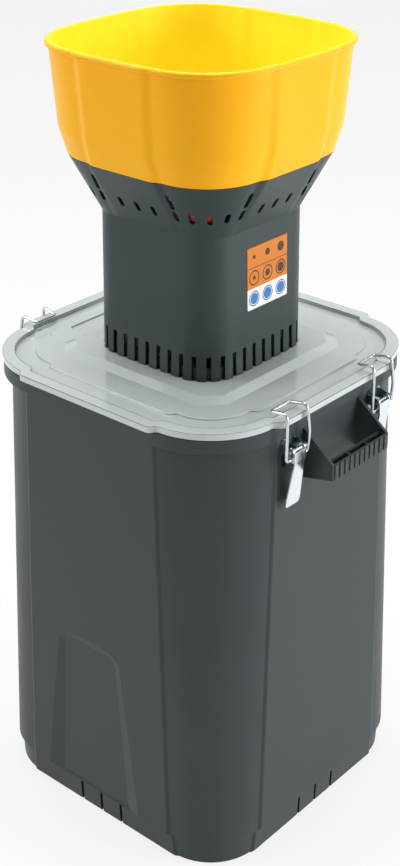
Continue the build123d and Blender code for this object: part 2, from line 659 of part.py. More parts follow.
with BuildPart() as housing:
    square_tower(housing_levels, FLARE_BLEND)
    square_tower([(PLATFORM_Z - WAY, COLUMN_HALF_FOOT, COLUMN_CORNER_FOOT, COLUMN_STEP)]
                 + housing_levels[1:2]
                 + [(SEAM_Z - LEDGE_THICK, flare_half(SEAM_Z - LEDGE_THICK), FLARE_CORNER, FLARE_STEP)],
                 FLARE_BLEND, inset=HOUSING_WALL, mode=Mode.SUBTRACT)
    # inner ledge that carries the hopper
    with BuildSketch(Plane.XY.offset(SEAM_Z - LEDGE_THICK)):
        ledge_half = FLARE_HALF - HOUSING_WALL - LEDGE_WIDTH
        RectangleRounded(2 * ledge_half, 2 * ledge_half, FLOOR_CORNER + LOOSE_FIT)
    extrude(amount=LEDGE_THICK + WAY, mode=Mode.SUBTRACT)
    with BuildSketch(Plane.XY.offset(SEAM_Z)):
        with Locations(HOPPER_SCREW_SPOTS):
            Circle(HOPPER_SCREW_RADIUS + RUNNING_FIT)
    extrude(amount=-LEDGE_THICK - WAY, mode=Mode.SUBTRACT)
    # comb of slots round the foot
    with BuildSketch(Plane.XY.offset(PLATFORM_Z)):
        with Locations(comb_places()):
            Rectangle(4 * HOUSING_WALL, COMB_WIDTH)
    extrude(amount=COMB_HEIGHT, mode=Mode.SUBTRACT)
    # vents
    with BuildSketch(*vent_planes(VENT_Z, [-SIDE_VENT_PITCH, 0, SIDE_VENT_PITCH],
                                  [turn * CORNER_VENT_ANGLE for turn in range(-2, 3)])):
        SlotOverall(VENT_LENGTH, VENT_WIDTH, rotation=90)
    extrude(amount=2 * HOUSING_WALL, both=True, mode=Mode.SUBTRACT)
    with BuildSketch(*vent_planes(UPPER_VENT_Z, [], [-UPPER_VENT_ANGLE, UPPER_VENT_ANGLE])):
        SlotOverall(UPPER_VENT_LENGTH, VENT_WIDTH, rotation=90)
    extrude(amount=2 * HOUSING_WALL, both=True, mode=Mode.SUBTRACT)
    # slot for the gate's tongue, switch opening and gland hole
    with Locations((-FLARE_HALF, tongue_y, tongue_z)):
        Box(FLARE_HALF / 2, TONGUE_WIDTH + 2 * LOOSE_FIT, GATE_THICK + 2 * LOOSE_FIT,
            align=(Align.MIN, Align.CENTER, Align.CENTER), mode=Mode.SUBTRACT)
    with BuildSketch(rear_switch):
        Rectangle(2 * SWITCH_HALF_WIDTH + 2 * RUNNING_FIT, 2 * SWITCH_HALF_HEIGHT + 2 * RUNNING_FIT)
    extrude(amount=2 * HOUSING_WALL, both=True, mode=Mode.SUBTRACT)
    with BuildSketch(rear_gland):
        Circle(GLAND_RADIUS + RUNNING_FIT)
    extrude(amount=2 * HOUSING_WALL, both=True, mode=Mode.SUBTRACT)
save(housing, "housing")

with BuildPart() as base_ring:
    ring_inset = HOUSING_WALL + LOOSE_FIT
    for depth, height, first in ((ring_inset, BASE_RING_HEIGHT, True),
                                 (ring_inset + BASE_RING_WALL, BASE_RING_HEIGHT, False)):
        with BuildSketch(Plane.XY.offset(PLATFORM_Z)):
            square_outline(COLUMN_HALF_FOOT - depth - BASE_RING_HEIGHT * COLUMN_TAPER,
                           COLUMN_CORNER_FOOT - depth, COLUMN_STEP, FLARE_BLEND)
        extrude(amount=height, mode=Mode.ADD if first else Mode.SUBTRACT)
    with BuildSketch(Plane.XY.offset(PLATFORM_Z)):
        square_outline(COLUMN_HALF_FOOT - ring_inset - BASE_RING_HEIGHT * COLUMN_TAPER,
                       COLUMN_CORNER_FOOT - ring_inset, COLUMN_STEP, FLARE_BLEND)
        opening = COLUMN_HALF_FOOT - ring_inset - BASE_RING_WALL - BASE_RING_FLANGE
        RectangleRounded(2 * opening, 2 * opening, FLANGE_CORNER + LOOSE_FIT, mode=Mode.SUBTRACT)
        with Locations(BASE_SCREW_SPOTS):
            Circle(BASE_SCREW_RADIUS + RUNNING_FIT, mode=Mode.SUBTRACT)
    extrude(amount=BASE_RING_FLANGE_THICK)
save(base_ring, "base_ring")

with BuildPart() as base_screws:
    with BuildSketch(Plane.XY.offset(PLATFORM_Z - SHEET)):
        with Locations(BASE_SCREW_SPOTS):
            Circle(BASE_SCREW_RADIUS)
    extrude(amount=SHEET + BASE_RING_FLANGE_THICK)
    with BuildSketch(Plane.XY.offset(PLATFORM_Z - SHEET)):
        with Locations(BASE_SCREW_SPOTS):
            Circle(2 * BASE_SCREW_RADIUS)
    extrude(amount=-BASE_SCREW_RADIUS)
save(base_screws, "base_screws")

# ----------------------------------------------------------------------------------------------
# Hopper, guard grid and screws
# ----------------------------------------------------------------------------------------------
wall_levels = [(SEAM_Z, FLARE_HALF, FLARE_CORNER, FLARE_STEP),
               (SEAM_Z + HOPPER_KNEE_Z, HOPPER_HALF_KNEE, HOPPER_CORNER_KNEE, HOPPER_STEP_KNEE),
               (TOP_Z, HOPPER_HALF_RIM, HOPPER_CORNER_RIM, HOPPER_STEP_RIM)]
lip_half = HOPPER_HALF_RIM + LIP_PROUD
floor_z = SEAM_Z + HOPPER_WALL
floor_half = FLARE_HALF - HOUSING_WALL - LEDGE_WIDTH - HOPPER_WALL - LOOSE_FIT
floor_wall_half = FLARE_HALF + (HOPPER_HALF_KNEE - FLARE_HALF) * HOPPER_WALL / HOPPER_KNEE_Z


def floor_funnel(extra, drop, mode=Mode.ADD):
    """Loft the sloping hopper floor down to the outlet, `extra` larger all round and `drop` lower."""
    with BuildSketch(Plane.XY.offset(floor_z - drop)) as wide:
        RectangleRounded(2 * (floor_half + extra), 2 * (floor_half + extra), FLOOR_CORNER)
    with BuildSketch(Plane.XY.offset(gate_mouth_z)) as mouth:
        outlet_square(DUCT_HALF + extra, DUCT_CORNER + extra)
    loft([wide.sketch.face(), mouth.sketch.face()], mode=mode)


with BuildPart() as hopper:
    square_tower(wall_levels, HOPPER_BLEND)
    for z, proud, height, top_proud in ((TOP_Z - LIP_HEIGHT, LIP_PROUD - LIP_ROUND, LIP_ROUND, LIP_PROUD),
                                        (TOP_Z - LIP_HEIGHT + LIP_ROUND, LIP_PROUD,
                                         LIP_HEIGHT - 2 * LIP_ROUND, LIP_PROUD),
                                        (TOP_Z - LIP_ROUND, LIP_PROUD, LIP_ROUND, LIP_PROUD - LIP_ROUND)):
        square_tower([(z, HOPPER_HALF_RIM + proud, HOPPER_CORNER_RIM + proud, HOPPER_STEP_RIM),
                      (z + height, HOPPER_HALF_RIM + top_proud, HOPPER_CORNER_RIM + top_proud,
                       HOPPER_STEP_RIM)], HOPPER_BLEND)
    square_tower([(floor_z, floor_wall_half, FLARE_CORNER, FLARE_STEP)]
                 + wall_levels[1:2]
                 + [(TOP_Z + WAY, HOPPER_HALF_RIM, HOPPER_CORNER_RIM, HOPPER_STEP_RIM)],
                 HOPPER_BLEND, inset=HOPPER_WALL, mode=Mode.SUBTRACT)
    floor_funnel(HOPPER_WALL, HOPPER_WALL)
    floor_funnel(0.0, 0.0, mode=Mode.SUBTRACT)
    with Locations([Location((x, y, SEAM_Z)) for x, y in HOPPER_SCREW_SPOTS]):
        Cylinder(HOPPER_SCREW_RADIUS + RUNNING_FIT, HOPPER_WALL + WAY,
                 align=(Align.CENTER, Align.CENTER, Align.MIN), mode=Mode.SUBTRACT)
save(hopper, "hopper")

with BuildPart() as hopper_screws:
    with BuildSketch(Plane.XY.offset(SEAM_Z - LEDGE_THICK)):
        with Locations(HOPPER_SCREW_SPOTS):
            Circle(HOPPER_SCREW_RADIUS)
    extrude(amount=LEDGE_THICK + HOPPER_WALL)
    with BuildSketch(Plane.XY.offset(floor_z)):
        with Locations(HOPPER_SCREW_SPOTS):
            Circle(HOPPER_SCREW_HEAD)
    extrude(amount=HOPPER_SCREW_RADIUS)
save(hopper_screws, "hopper_screws")

# The guard sits where the funnel is as wide as the grid.
funnel_rise = floor_z - gate_mouth_z
guard_z = gate_mouth_z + GUARD_Z
guard_share = GUARD_Z / funnel_rise
guard_centre = OUTLET_OFFSET * (1 - guard_share)
guard_half = DUCT_HALF + (floor_half - DUCT_HALF) * guard_share - 2 * LOOSE_FIT

with BuildPart() as hopper_guard:
    rim_corner = DUCT_CORNER + (FLOOR_CORNER - DUCT_CORNER) * guard_share
    with BuildSketch(Plane.XY.offset(guard_z)):
        with Locations((guard_centre, -guard_centre)):
            with GridLocations(2 * guard_half / (GUARD_BARS + 1), 1, GUARD_BARS, 1):
                Rectangle(2 * GUARD_WIRE, 2 * guard_half)
            Rectangle(2 * guard_half, 2 * GUARD_WIRE)
            RectangleRounded(2 * guard_half, 2 * guard_half, rim_corner, mode=Mode.INTERSECT)
    extrude(amount=GUARD_WIRE)
    with BuildSketch(Plane.XY.offset(guard_z)):
        with Locations((guard_centre, -guard_centre)):
            RectangleRounded(2 * guard_half, 2 * guard_half, rim_corner)
            RectangleRounded(2 * (guard_half - 2 * GUARD_WIRE), 2 * (guard_half - 2 * GUARD_WIRE),
                             rim_corner - 2 * GUARD_WIRE, mode=Mode.SUBTRACT)
    extrude(amount=GUARD_WIRE)
save(hopper_guard, "hopper_guard")

# ----------------------------------------------------------------------------------------------
# Feed gate and grain duct
# ----------------------------------------------------------------------------------------------
guide_z = gate_z - GATE_PLAY - GATE_FLOOR
guide_half = GATE_WIDTH / 2 + 2 * GATE_PLAY + GATE_RAIL
guide_length = GATE_LENGTH + GATE_TRAVEL + GATE_RAIL
guide_end = OUTLET_OFFSET + GATE_LENGTH / 2 + GATE_RAIL

with BuildPart() as gate_guide:
    with BuildSketch(Plane.XY.offset(guide_z)):
        with Locations((guide_end, -OUTLET_OFFSET)):
            Rectangle(guide_length, 2 * guide_half, align=(Align.MAX, Align.CENTER))
        outlet_square(DUCT_HALF, DUCT_CORNER)
    extrude(amount=GATE_FLOOR)
    with BuildSketch(Plane.XY.offset(guide_z)):
        outlet_square(DUCT_HALF, DUCT_CORNER)
    extrude(amount=GATE_FLOOR, mode=Mode.SUBTRACT)
    with BuildSketch(Plane.XY.offset(guide_z + GATE_FLOOR)):
        with Locations((guide_end, -OUTLET_OFFSET + guide_half), (guide_end, -OUTLET_OFFSET - guide_half)):
            Rectangle(guide_length, GATE_RAIL, align=(Align.MAX, Align.CENTER))
        with Locations((guide_end, -OUTLET_OFFSET)):
            Rectangle(GATE_RAIL - GATE_PLAY, 2 * guide_half, align=(Align.MAX, Align.CENTER))
        with Locations((guide_end, -OUTLET_OFFSET)):
            Rectangle(2 * guide_length, 2 * guide_half, align=(Align.CENTER, Align.CENTER),
                      mode=Mode.INTERSECT)
    extrude(amount=gate_mouth_z - guide_z - GATE_FLOOR)
save(gate_guide, "gate_guide")

tongue_start = OUTLET_OFFSET - GATE_LENGTH / 2
knob_x = -(flare_half(tongue_z) + TONGUE_REACH)
tongue_end = knob_x - TONGUE_GRIP

with BuildPart() as feed_gate:
    with BuildSketch(Plane.XY.offset(gate_z)):
        with Locations((OUTLET_OFFSET, -OUTLET_OFFSET)):
            Rectangle(GATE_LENGTH, GATE_WIDTH)
        with Locations((tongue_end, tongue_y)):
            Rectangle(tongue_start - tongue_end, TONGUE_WIDTH, align=(Align.MIN, Align.CENTER))
    extrude(amount=GATE_THICK)
save(feed_gate, "feed_gate")

with BuildPart() as gate_knob:
    with BuildSketch(Plane((knob_x, tongue_y, tongue_z), x_dir=(0, 1, 0), z_dir=(0, 0, 1))):
        with BuildLine() as knob_view:
            half_knob = KNOB_LENGTH / 2
            Line((0, 0), (KNOB_RADIUS * 0.7, 0))
            Spline((KNOB_RADIUS * 0.7, 0), (KNOB_RADIUS, half_knob), (0, KNOB_LENGTH),
                   tangents=((0, 1), (-1, 0)))
            Line((0, KNOB_LENGTH), (0, 0))
        make_face(knob_view.edges())
    revolve(axis=Axis((knob_x, tongue_y, tongue_z), (1, 0, 0)))
    with Locations((knob_x, tongue_y, tongue_z)):
        Box(2 * TONGUE_GRIP, TONGUE_WIDTH, GATE_THICK, mode=Mode.SUBTRACT)
save(gate_knob, "gate_knob")

duct_foot = PLATFORM_Z - SHEET
funnel_top = guide_z
funnel_foot = funnel_top - FUNNEL_HEIGHT

with BuildPart() as grain_duct:
    for extra, past, mode in ((DUCT_WALL, 0.0, Mode.ADD), (0.0, WAY, Mode.SUBTRACT)):
        with BuildSketch(Plane.XY.offset(funnel_foot)):
            outlet_square(DUCT_HALF + extra, DUCT_CORNER + extra)
        with BuildSketch(Plane.XY.offset(funnel_top)):
            outlet_square(FUNNEL_HALF + extra, FUNNEL_CORNER + extra)
        loft(mode=mode)
        with BuildSketch(Plane.XY.offset(duct_foot - past)):
            outlet_square(DUCT_HALF + extra, DUCT_CORNER + extra)
        extrude(amount=funnel_foot - duct_foot + past, mode=mode)
save(grain_duct, "grain_duct")

# ----------------------------------------------------------------------------------------------
# Motor, from the flange up
# ----------------------------------------------------------------------------------------------
flange_top = PLATFORM_Z + FLANGE_THICK
boss_top = flange_top + FLANGE_BOSS_HEIGHT
bearing_z = boss_top - LOWER_BEARING_WIDTH
can_top = flange_top + CAN_HEIGHT
fan_z = boss_top + FAN_RISE
core_z = fan_z + FAN_HEIGHT + CORE_RISE
core_top = core_z + CORE_HEIGHT
can_bore = CAN_RADIUS - CAN_WALL
upper_bearing_z = can_top - UPPER_BEARING_WIDTH
chamber_top_z = PLATFORM_Z - SHEET
# places on the can's outside for the radial screws that hold the upper bracket
SCREW_PLACES = [Plane((across * CAN_RADIUS, along * CAN_RADIUS, can_top - BRACKET_SKIRT / 2),
                      z_dir=(across, along, 0)).location
                for across, along in ((1, 0), (0, 1), (-1, 0), (0, -1))]

with BuildPart() as motor_flange:
    with BuildSketch(Plane.XY.offset(PLATFORM_Z)):
        RectangleRounded(2 * FLANGE_HALF, 2 * FLANGE_HALF, FLANGE_CORNER)
        outlet_square(DUCT_HALF + DUCT_WALL + LOOSE_FIT, DUCT_CORNER + DUCT_WALL + LOOSE_FIT)
    extrude(amount=FLANGE_THICK)
    with BuildSketch(Plane.XY.offset(flange_top)):
        Circle(FLANGE_BOSS_RADIUS)
    extrude(amount=FLANGE_BOSS_HEIGHT)
    with BuildSketch(Plane.XY.offset(PLATFORM_Z)):
        outlet_square(DUCT_HALF + DUCT_WALL + LOOSE_FIT, DUCT_CORNER + DUCT_WALL + LOOSE_FIT)
        with Locations(FLANGE_BOLT_SPOTS):
            Circle(FLANGE_BOLT_RADIUS + RUNNING_FIT)
        Circle(SEAL_RADIUS + RUNNING_FIT)
    extrude(amount=FLANGE_THICK, mode=Mode.SUBTRACT)
    with BuildSketch(Plane.XY.offset(bearing_z)):
        Circle(LOWER_BEARING_RADIUS + RUNNING_FIT)
    extrude(amount=LOWER_BEARING_WIDTH + WAY, mode=Mode.SUBTRACT)
save(motor_flange, "motor_flange")

with BuildPart() as lower_bearing:
    with BuildSketch(Plane.XY.offset(bearing_z)):
        Circle(LOWER_BEARING_RADIUS)
        Circle(SHAFT_RADIUS + RUNNING_FIT, mode=Mode.SUBTRACT)
    extrude(amount=LOWER_BEARING_WIDTH)
save(lower_bearing, "lower_bearing")

with BuildPart() as upper_bearing:
    with BuildSketch(Plane.XY.offset(upper_bearing_z)):
        Circle(UPPER_BEARING_RADIUS)
        Circle(SHAFT_TOP_RADIUS + RUNNING_FIT, mode=Mode.SUBTRACT)
    extrude(amount=UPPER_BEARING_WIDTH)
save(upper_bearing, "upper_bearing")

with BuildPart() as shaft_seal:
    with BuildSketch(Plane.XY.offset(bearing_z - SEAL_HEIGHT)):
        Circle(SEAL_RADIUS)
        Circle(SHAFT_RADIUS + RUNNING_FIT, mode=Mode.SUBTRACT)
    extrude(amount=SEAL_HEIGHT)
save(shaft_seal, "shaft_seal")

with BuildPart() as motor_can:
    with BuildSketch(Plane.XY.offset(flange_top)):
        Circle(CAN_RADIUS)
        Circle(can_bore, mode=Mode.SUBTRACT)
    extrude(amount=CAN_HEIGHT)
    # windows that let the fan's air out
    with PolarLocations(CAN_RADIUS, CAN_WINDOW_COUNT):
        with Locations((0, 0, fan_z)):
            Box(6 * CAN_WALL, CAN_WINDOW_WIDTH, CAN_WINDOW_HEIGHT,
                align=(Align.CENTER, Align.CENTER, Align.MIN), mode=Mode.SUBTRACT)
    with Locations(SCREW_PLACES):
        Cylinder(BRACKET_SCREW_RADIUS + RUNNING_FIT, 4 * BRACKET_SKIRT_WALL, mode=Mode.SUBTRACT)
save(motor_can, "motor_can")

with BuildPart() as bracket_screws:
    with Locations(SCREW_PLACES):
        Cylinder(BRACKET_SCREW_RADIUS, CAN_WALL + BRACKET_SKIRT_WALL, align=(Align.CENTER, Align.CENTER, Align.MAX))
        Cylinder(BRACKET_SCREW_HEAD, BRACKET_SCREW_RADIUS, align=(Align.CENTER, Align.CENTER, Align.MIN))
save(bracket_screws, "bracket_screws")

with BuildPart() as upper_bracket:
    with BuildSketch(Plane.XY.offset(can_top)):
        Circle(CAN_RADIUS)
    extrude(amount=BRACKET_THICK)
    with BuildSketch(Plane.XY.offset(can_top)):
        Circle(UPPER_BEARING_RADIUS + 2 * HOLDER_WALL)
    extrude(amount=-UPPER_BEARING_WIDTH)
    with BuildSketch(Plane.XY.offset(can_top)):
        Circle(can_bore - RUNNING_FIT)
        Circle(can_bore - BRACKET_SKIRT_WALL, mode=Mode.SUBTRACT)
    extrude(amount=-BRACKET_SKIRT)
    with Locations(SCREW_PLACES):
        Cylinder(BRACKET_SCREW_RADIUS + RUNNING_FIT, 4 * BRACKET_SKIRT_WALL, mode=Mode.SUBTRACT)
    with BuildSketch(Plane.XY.offset(upper_bearing_z)):
        Circle(UPPER_BEARING_RADIUS + RUNNING_FIT)
    extrude(amount=UPPER_BEARING_WIDTH, mode=Mode.SUBTRACT)
save(upper_bracket, "upper_bracket")

with BuildPart() as stator_core:
    with BuildSketch(Plane.XY.offset(core_z)):
        Circle(can_bore - RUNNING_FIT)
        Circle(BORE_RADIUS, mode=Mode.SUBTRACT)
        for side in (1, -1):
            with Locations((side * (BORE_RADIUS + COIL_THICK / 2 + 1), COIL_HALF_OUTER / 2 + COIL_HALF_INNER / 2),
                           (side * (BORE_RADIUS + COIL_THICK / 2 + 1), -COIL_HALF_OUTER / 2 - COIL_HALF_INNER / 2)):
                Rectangle(COIL_THICK + 2 * LOOSE_FIT, COIL_HALF_OUTER - COIL_HALF_INNER + 2 * LOOSE_FIT,
                          mode=Mode.SUBTRACT)
    extrude(amount=CORE_HEIGHT)
save(stator_core, "stator_core")

with BuildPart() as field_coils:
    for side in (1, -1):
        coil_x = side * (BORE_RADIUS + COIL_THICK / 2 + 1)
        with BuildSketch(Plane((coil_x, 0, core_z + CORE_HEIGHT / 2), x_dir=(0, 1, 0), z_dir=(1, 0, 0))):
            Rectangle(2 * COIL_HALF_OUTER, CORE_HEIGHT + 2 * COIL_END)
            Rectangle(2 * COIL_HALF_INNER, CORE_HEIGHT + 2 * LOOSE_FIT, mode=Mode.SUBTRACT)
        extrude(amount=COIL_THICK / 2, both=True)
save(field_coils, "field_coils")

brush_z = core_top + COIL_END + BRUSH_HEIGHT
holder_reach = sqrt(can_bore ** 2 - (BRUSH_WIDTH / 2 + HOLDER_WALL) ** 2)
with BuildPart() as brush_holders:
    for side in (1, -1):
        with Locations((0, side * holder_reach, brush_z)):
            Box(BRUSH_WIDTH + 2 * HOLDER_WALL, holder_reach - COMMUTATOR_RADIUS - 2 * HOLDER_WALL,
                BRUSH_HEIGHT + 2 * HOLDER_WALL,
                align=(Align.CENTER, Align.MAX if side > 0 else Align.MIN, Align.CENTER))
        with Locations((0, side * can_bore, brush_z)):
            Box(BRUSH_WIDTH + 2 * RUNNING_FIT, 2 * can_bore, BRUSH_HEIGHT + 2 * RUNNING_FIT, mode=Mode.SUBTRACT)
save(brush_holders, "brush_holders")

with BuildPart() as carbon_brushes:
    for side in (1, -1):
        with Locations((0, side * (COMMUTATOR_RADIUS + LOOSE_FIT), brush_z)):
            Box(BRUSH_WIDTH, BRUSH_LENGTH, BRUSH_HEIGHT,
                align=(Align.CENTER, Align.MIN if side > 0 else Align.MAX, Align.CENTER))
save(carbon_brushes, "carbon_brushes")

# Rotor
chamber_floor_z = chamber_top_z - CHAMBER_PLATE - SIEVE_HEIGHT
upper_blade_z = chamber_top_z - CHAMBER_PLATE - BLADE_DROP
lower_blade_z = upper_blade_z - BLADE_SPACING - BLADE_THICK
nut_z = lower_blade_z - SHAFT_NUT_HEIGHT
commutator_z = brush_z - COMMUTATOR_HEIGHT / 2

with BuildPart() as rotor_shaft:
    with BuildSketch(Plane.XY.offset(nut_z - SHAFT_END)):
        Circle(SHAFT_RADIUS)
    extrude(amount=commutator_z + COMMUTATOR_HEIGHT - nut_z + SHAFT_END)
    with BuildSketch(Plane.XY.offset(commutator_z + COMMUTATOR_HEIGHT)):
        Circle(SHAFT_TOP_RADIUS)
    extrude(amount=can_top - LOOSE_FIT - commutator_z - COMMUTATOR_HEIGHT)
    chamfer(rotor_shaft.faces().sort_by(Axis.Z)[0].edges(), 1)
save(rotor_shaft, "rotor_shaft")


def on_shaft(radius, z, height):
    """Raise a collar on the rotor shaft."""
    with BuildSketch(Plane.XY.offset(z)) as collar:
        Circle(radius)
        Circle(SHAFT_RADIUS, mode=Mode.SUBTRACT)
    extrude(collar.sketch, amount=height)


with BuildPart() as rotor_core:
    on_shaft(BORE_RADIUS - AIR_GAP, core_z, CORE_HEIGHT)
    on_shaft(BORE_RADIUS - 4 * AIR_GAP - HOLDER_WALL, core_z - COIL_END / 2, CORE_HEIGHT + COIL_END)
save(rotor_core, "rotor_core")

with BuildPart() as commutator:
    on_shaft(COMMUTATOR_RADIUS, commutator_z, COMMUTATOR_HEIGHT)
save(commutator, "commutator")

with BuildPart() as cooling_fan:
    on_shaft(FAN_RADIUS, fan_z + FAN_HEIGHT - HOLDER_WALL, HOLDER_WALL)
    on_shaft(FAN_HUB_RADIUS, fan_z, FAN_HEIGHT)
    with PolarLocations(0, FAN_VANES):
        with Locations((FAN_HUB_RADIUS - 1, 0, fan_z)):
            Box(FAN_RADIUS - FAN_HUB_RADIUS, HOLDER_WALL, FAN_HEIGHT,
                align=(Align.MIN, Align.CENTER, Align.MIN))
save(cooling_fan, "cooling_fan")


def blade(z, turn):
    """Raise one flat blade across the shaft, with bevelled cutting edges at its two ends."""
    with BuildSketch(Plane.XY.offset(z)) as outline:
        Rectangle(BLADE_SPAN, BLADE_WIDTH, rotation=turn)
        Circle(SHAFT_RADIUS, mode=Mode.SUBTRACT)
    extrude(outline.sketch, amount=BLADE_THICK)


with BuildPart() as upper_blade:
    blade(upper_blade_z, 0)
    chamfer(upper_blade.faces().sort_by(Axis.Z)[-1].edges().filter_by(Axis.X), BLADE_BEVEL)
save(upper_blade, "upper_blade")

with BuildPart() as lower_blade:
    blade(lower_blade_z, 90)
    chamfer(lower_blade.faces().sort_by(Axis.Z)[-1].edges().filter_by(Axis.Y), BLADE_BEVEL)
save(lower_blade, "lower_blade")

with BuildPart() as blade_spacers:
    on_shaft(SPACER_RADIUS, upper_blade_z + BLADE_THICK,
             PLATFORM_Z - LOOSE_FIT - upper_blade_z - BLADE_THICK)
    on_shaft(SPACER_RADIUS, lower_blade_z + BLADE_THICK, BLADE_SPACING)
save(blade_spacers, "blade_spacers")

with BuildPart() as shaft_nut:
    with BuildSketch(Plane.XY.offset(nut_z)):
        RegularPolygon(SHAFT_NUT_ACROSS / 2, 6, major_radius=False)
        Circle(SHAFT_RADIUS, mode=Mode.SUBTRACT)
    extrude(amount=SHAFT_NUT_HEIGHT)
save(shaft_nut, "shaft_nut")

# ----------------------------------------------------------------------------------------------
# Grinding chamber
# ----------------------------------------------------------------------------------------------
STUD_SPOTS = [(STUD_CIRCLE * cos(radians(45 + 90 * n)), STUD_CIRCLE * sin(radians(45 + 90 * n)))
              for n in range(4)]
base_plate_z = chamber_floor_z - CHAMBER_BASE
stud_foot = base_plate_z - WING_NUT_HEIGHT - STUD_END

with BuildPart() as chamber_top:
    with BuildSketch(Plane.XY.offset(chamber_top_z)):
        Circle(CHAMBER_RADIUS)
        Circle(SHAFT_HOLE_RADIUS, mode=Mode.SUBTRACT)
        with Locations(STUD_SPOTS):
            Circle(STUD_RADIUS + RUNNING_FIT, mode=Mode.SUBTRACT)
        with Locations(BASE_SCREW_SPOTS):
            Circle(2 * BASE_SCREW_RADIUS + LOOSE_FIT, mode=Mode.SUBTRACT)
    extrude(amount=-CHAMBER_PLATE)
    with BuildSketch(Plane.XY.offset(chamber_top_z)):
        outlet_square(DUCT_HALF, DUCT_CORNER)
    extrude(amount=-CHAMBER_PLATE, mode=Mode.SUBTRACT)
    with Locations([Location((x, y, chamber_top_z - CHAMBER_PLATE), (180, 0, 0)) for x, y in FLANGE_BOLT_SPOTS]):
        CounterSinkHole(FLANGE_BOLT_RADIUS + RUNNING_FIT, FLANGE_BOLT_HEAD + RUNNING_FIT, CHAMBER_PLATE,
                        counter_sink_angle=90)
save(chamber_top, "chamber_top")

with BuildPart() as flange_bolts:
    for x, y in FLANGE_BOLT_SPOTS:
        with BuildSketch(Plane((x, y, chamber_top_z - CHAMBER_PLATE), x_dir=(1, 0, 0), z_dir=(0, -1, 0))):
            with BuildLine() as bolt_view:
                bolt_top = flange_top + FLANGE_BOLT_ABOVE - chamber_top_z + CHAMBER_PLATE
                cone = FLANGE_BOLT_HEAD - FLANGE_BOLT_RADIUS
                Polyline((0, 0), (FLANGE_BOLT_HEAD, 0), (FLANGE_BOLT_RADIUS, cone),
                         (FLANGE_BOLT_RADIUS, bolt_top), (0, bolt_top), close=True)
            make_face(bolt_view.edges())
        revolve(axis=Axis((x, y, 0), (0, 0, 1)))
save(flange_bolts, "flange_bolts")

with BuildPart() as sieve:
    with BuildSketch(Plane.XY.offset(chamber_floor_z)):
        Circle(SIEVE_RADIUS)
        Circle(SIEVE_RADIUS - SIEVE_WALL, mode=Mode.SUBTRACT)
    extrude(amount=SIEVE_HEIGHT)
    for row in range(SIEVE_HOLE_ROWS):
        row_z = chamber_floor_z + SIEVE_HEIGHT / 2 + (row - (SIEVE_HOLE_ROWS - 1) / 2) * SIEVE_ROW_PITCH
        with PolarLocations(SIEVE_RADIUS - SIEVE_WALL / 2, SIEVE_HOLE_COUNT):
            with Locations((0, 0, row_z)):
                Box(4 * SIEVE_WALL, 2 * SIEVE_HOLE_RADIUS, 2 * SIEVE_HOLE_RADIUS, mode=Mode.SUBTRACT)
save(sieve, "sieve")

with BuildPart() as chamber_base:
    with BuildSketch(Plane.XY.offset(base_plate_z)):
        Circle(CHAMBER_RADIUS)
        with Locations(STUD_SPOTS):
            Circle(STUD_RADIUS + LOOSE_FIT, mode=Mode.SUBTRACT)
    extrude(amount=CHAMBER_BASE)
save(chamber_base, "chamber_base")

with BuildPart() as chamber_studs:
    with BuildSketch(Plane.XY.offset(stud_foot)):
        with Locations(STUD_SPOTS):
            Circle(STUD_RADIUS)
    extrude(amount=chamber_top_z - stud_foot)
save(chamber_studs, "chamber_studs")

with BuildPart() as wing_nuts:
    for x, y in STUD_SPOTS:
        heading = degrees(atan2(y, x)) + 90
        with BuildSketch(Plane.XY.offset(base_plate_z)):
            with Locations(Location((x, y), heading)):
                Circle(2 * STUD_RADIUS)
                Circle(STUD_RADIUS + RUNNING_FIT, mode=Mode.SUBTRACT)
        extrude(amount=-WING_NUT_HEIGHT)
        with BuildSketch(Plane((x, y, base_plate_z), x_dir=(cos(radians(heading)), sin(radians(heading)), 0),
                               z_dir=(sin(radians(heading)), -cos(radians(heading)), 0))):
            for wing in (1, -1):
                with BuildLine() as wing_view:
                    Polyline((wing * 1.5 * STUD_RADIUS, -1), (wing * WING_SPAN / 2, -WING_NUT_HEIGHT / 2),
                             (wing * WING_SPAN / 2, -1.4 * WING_NUT_HEIGHT),
                             (wing * 1.5 * STUD_RADIUS, 1 - WING_NUT_HEIGHT), close=True)
                make_face(wing_view.edges())
        extrude(amount=HOLDER_WALL / 2, both=True)
save(wing_nuts, "wing_nuts")

# ----------------------------------------------------------------------------------------------
# Switch and cable gland on the rear, label on the right
# ----------------------------------------------------------------------------------------------
window_half_width = ROCKER_HALF_WIDTH + ROCKER_PLAY
window_half_height = ROCKER_HALF_HEIGHT + 3 * ROCKER_PLAY
pivot_plane = rear_switch.offset(-ROCKER_PIVOT_DEPTH)

with BuildPart() as switch_body:
    with BuildSketch(rear_switch):
        RectangleRounded(2 * (SWITCH_HALF_WIDTH + BEZEL_LIP), 2 * (SWITCH_HALF_HEIGHT + BEZEL_LIP), BEZEL_LIP)
    extrude(amount=BEZEL_THICK)
    with BuildSketch(rear_switch):
        Rectangle(2 * SWITCH_HALF_WIDTH, 2 * SWITCH_HALF_HEIGHT)
    extrude(amount=-SWITCH_DEPTH)
    with BuildSketch(rear_switch.offset(BEZEL_THICK)):
        Rectangle(2 * window_half_width, 2 * window_half_height)
    extrude(amount=-BEZEL_THICK - ROCKER_POCKET, mode=Mode.SUBTRACT)
    with BuildSketch(Plane(pivot_plane.origin, z_dir=pivot_plane.x_dir)):
        Circle(TRUNNION_RADIUS + RUNNING_FIT)
    extrude(amount=ROCKER_HALF_WIDTH + TRUNNION_LENGTH + RUNNING_FIT, both=True, mode=Mode.SUBTRACT)
save(switch_body, "switch_body")

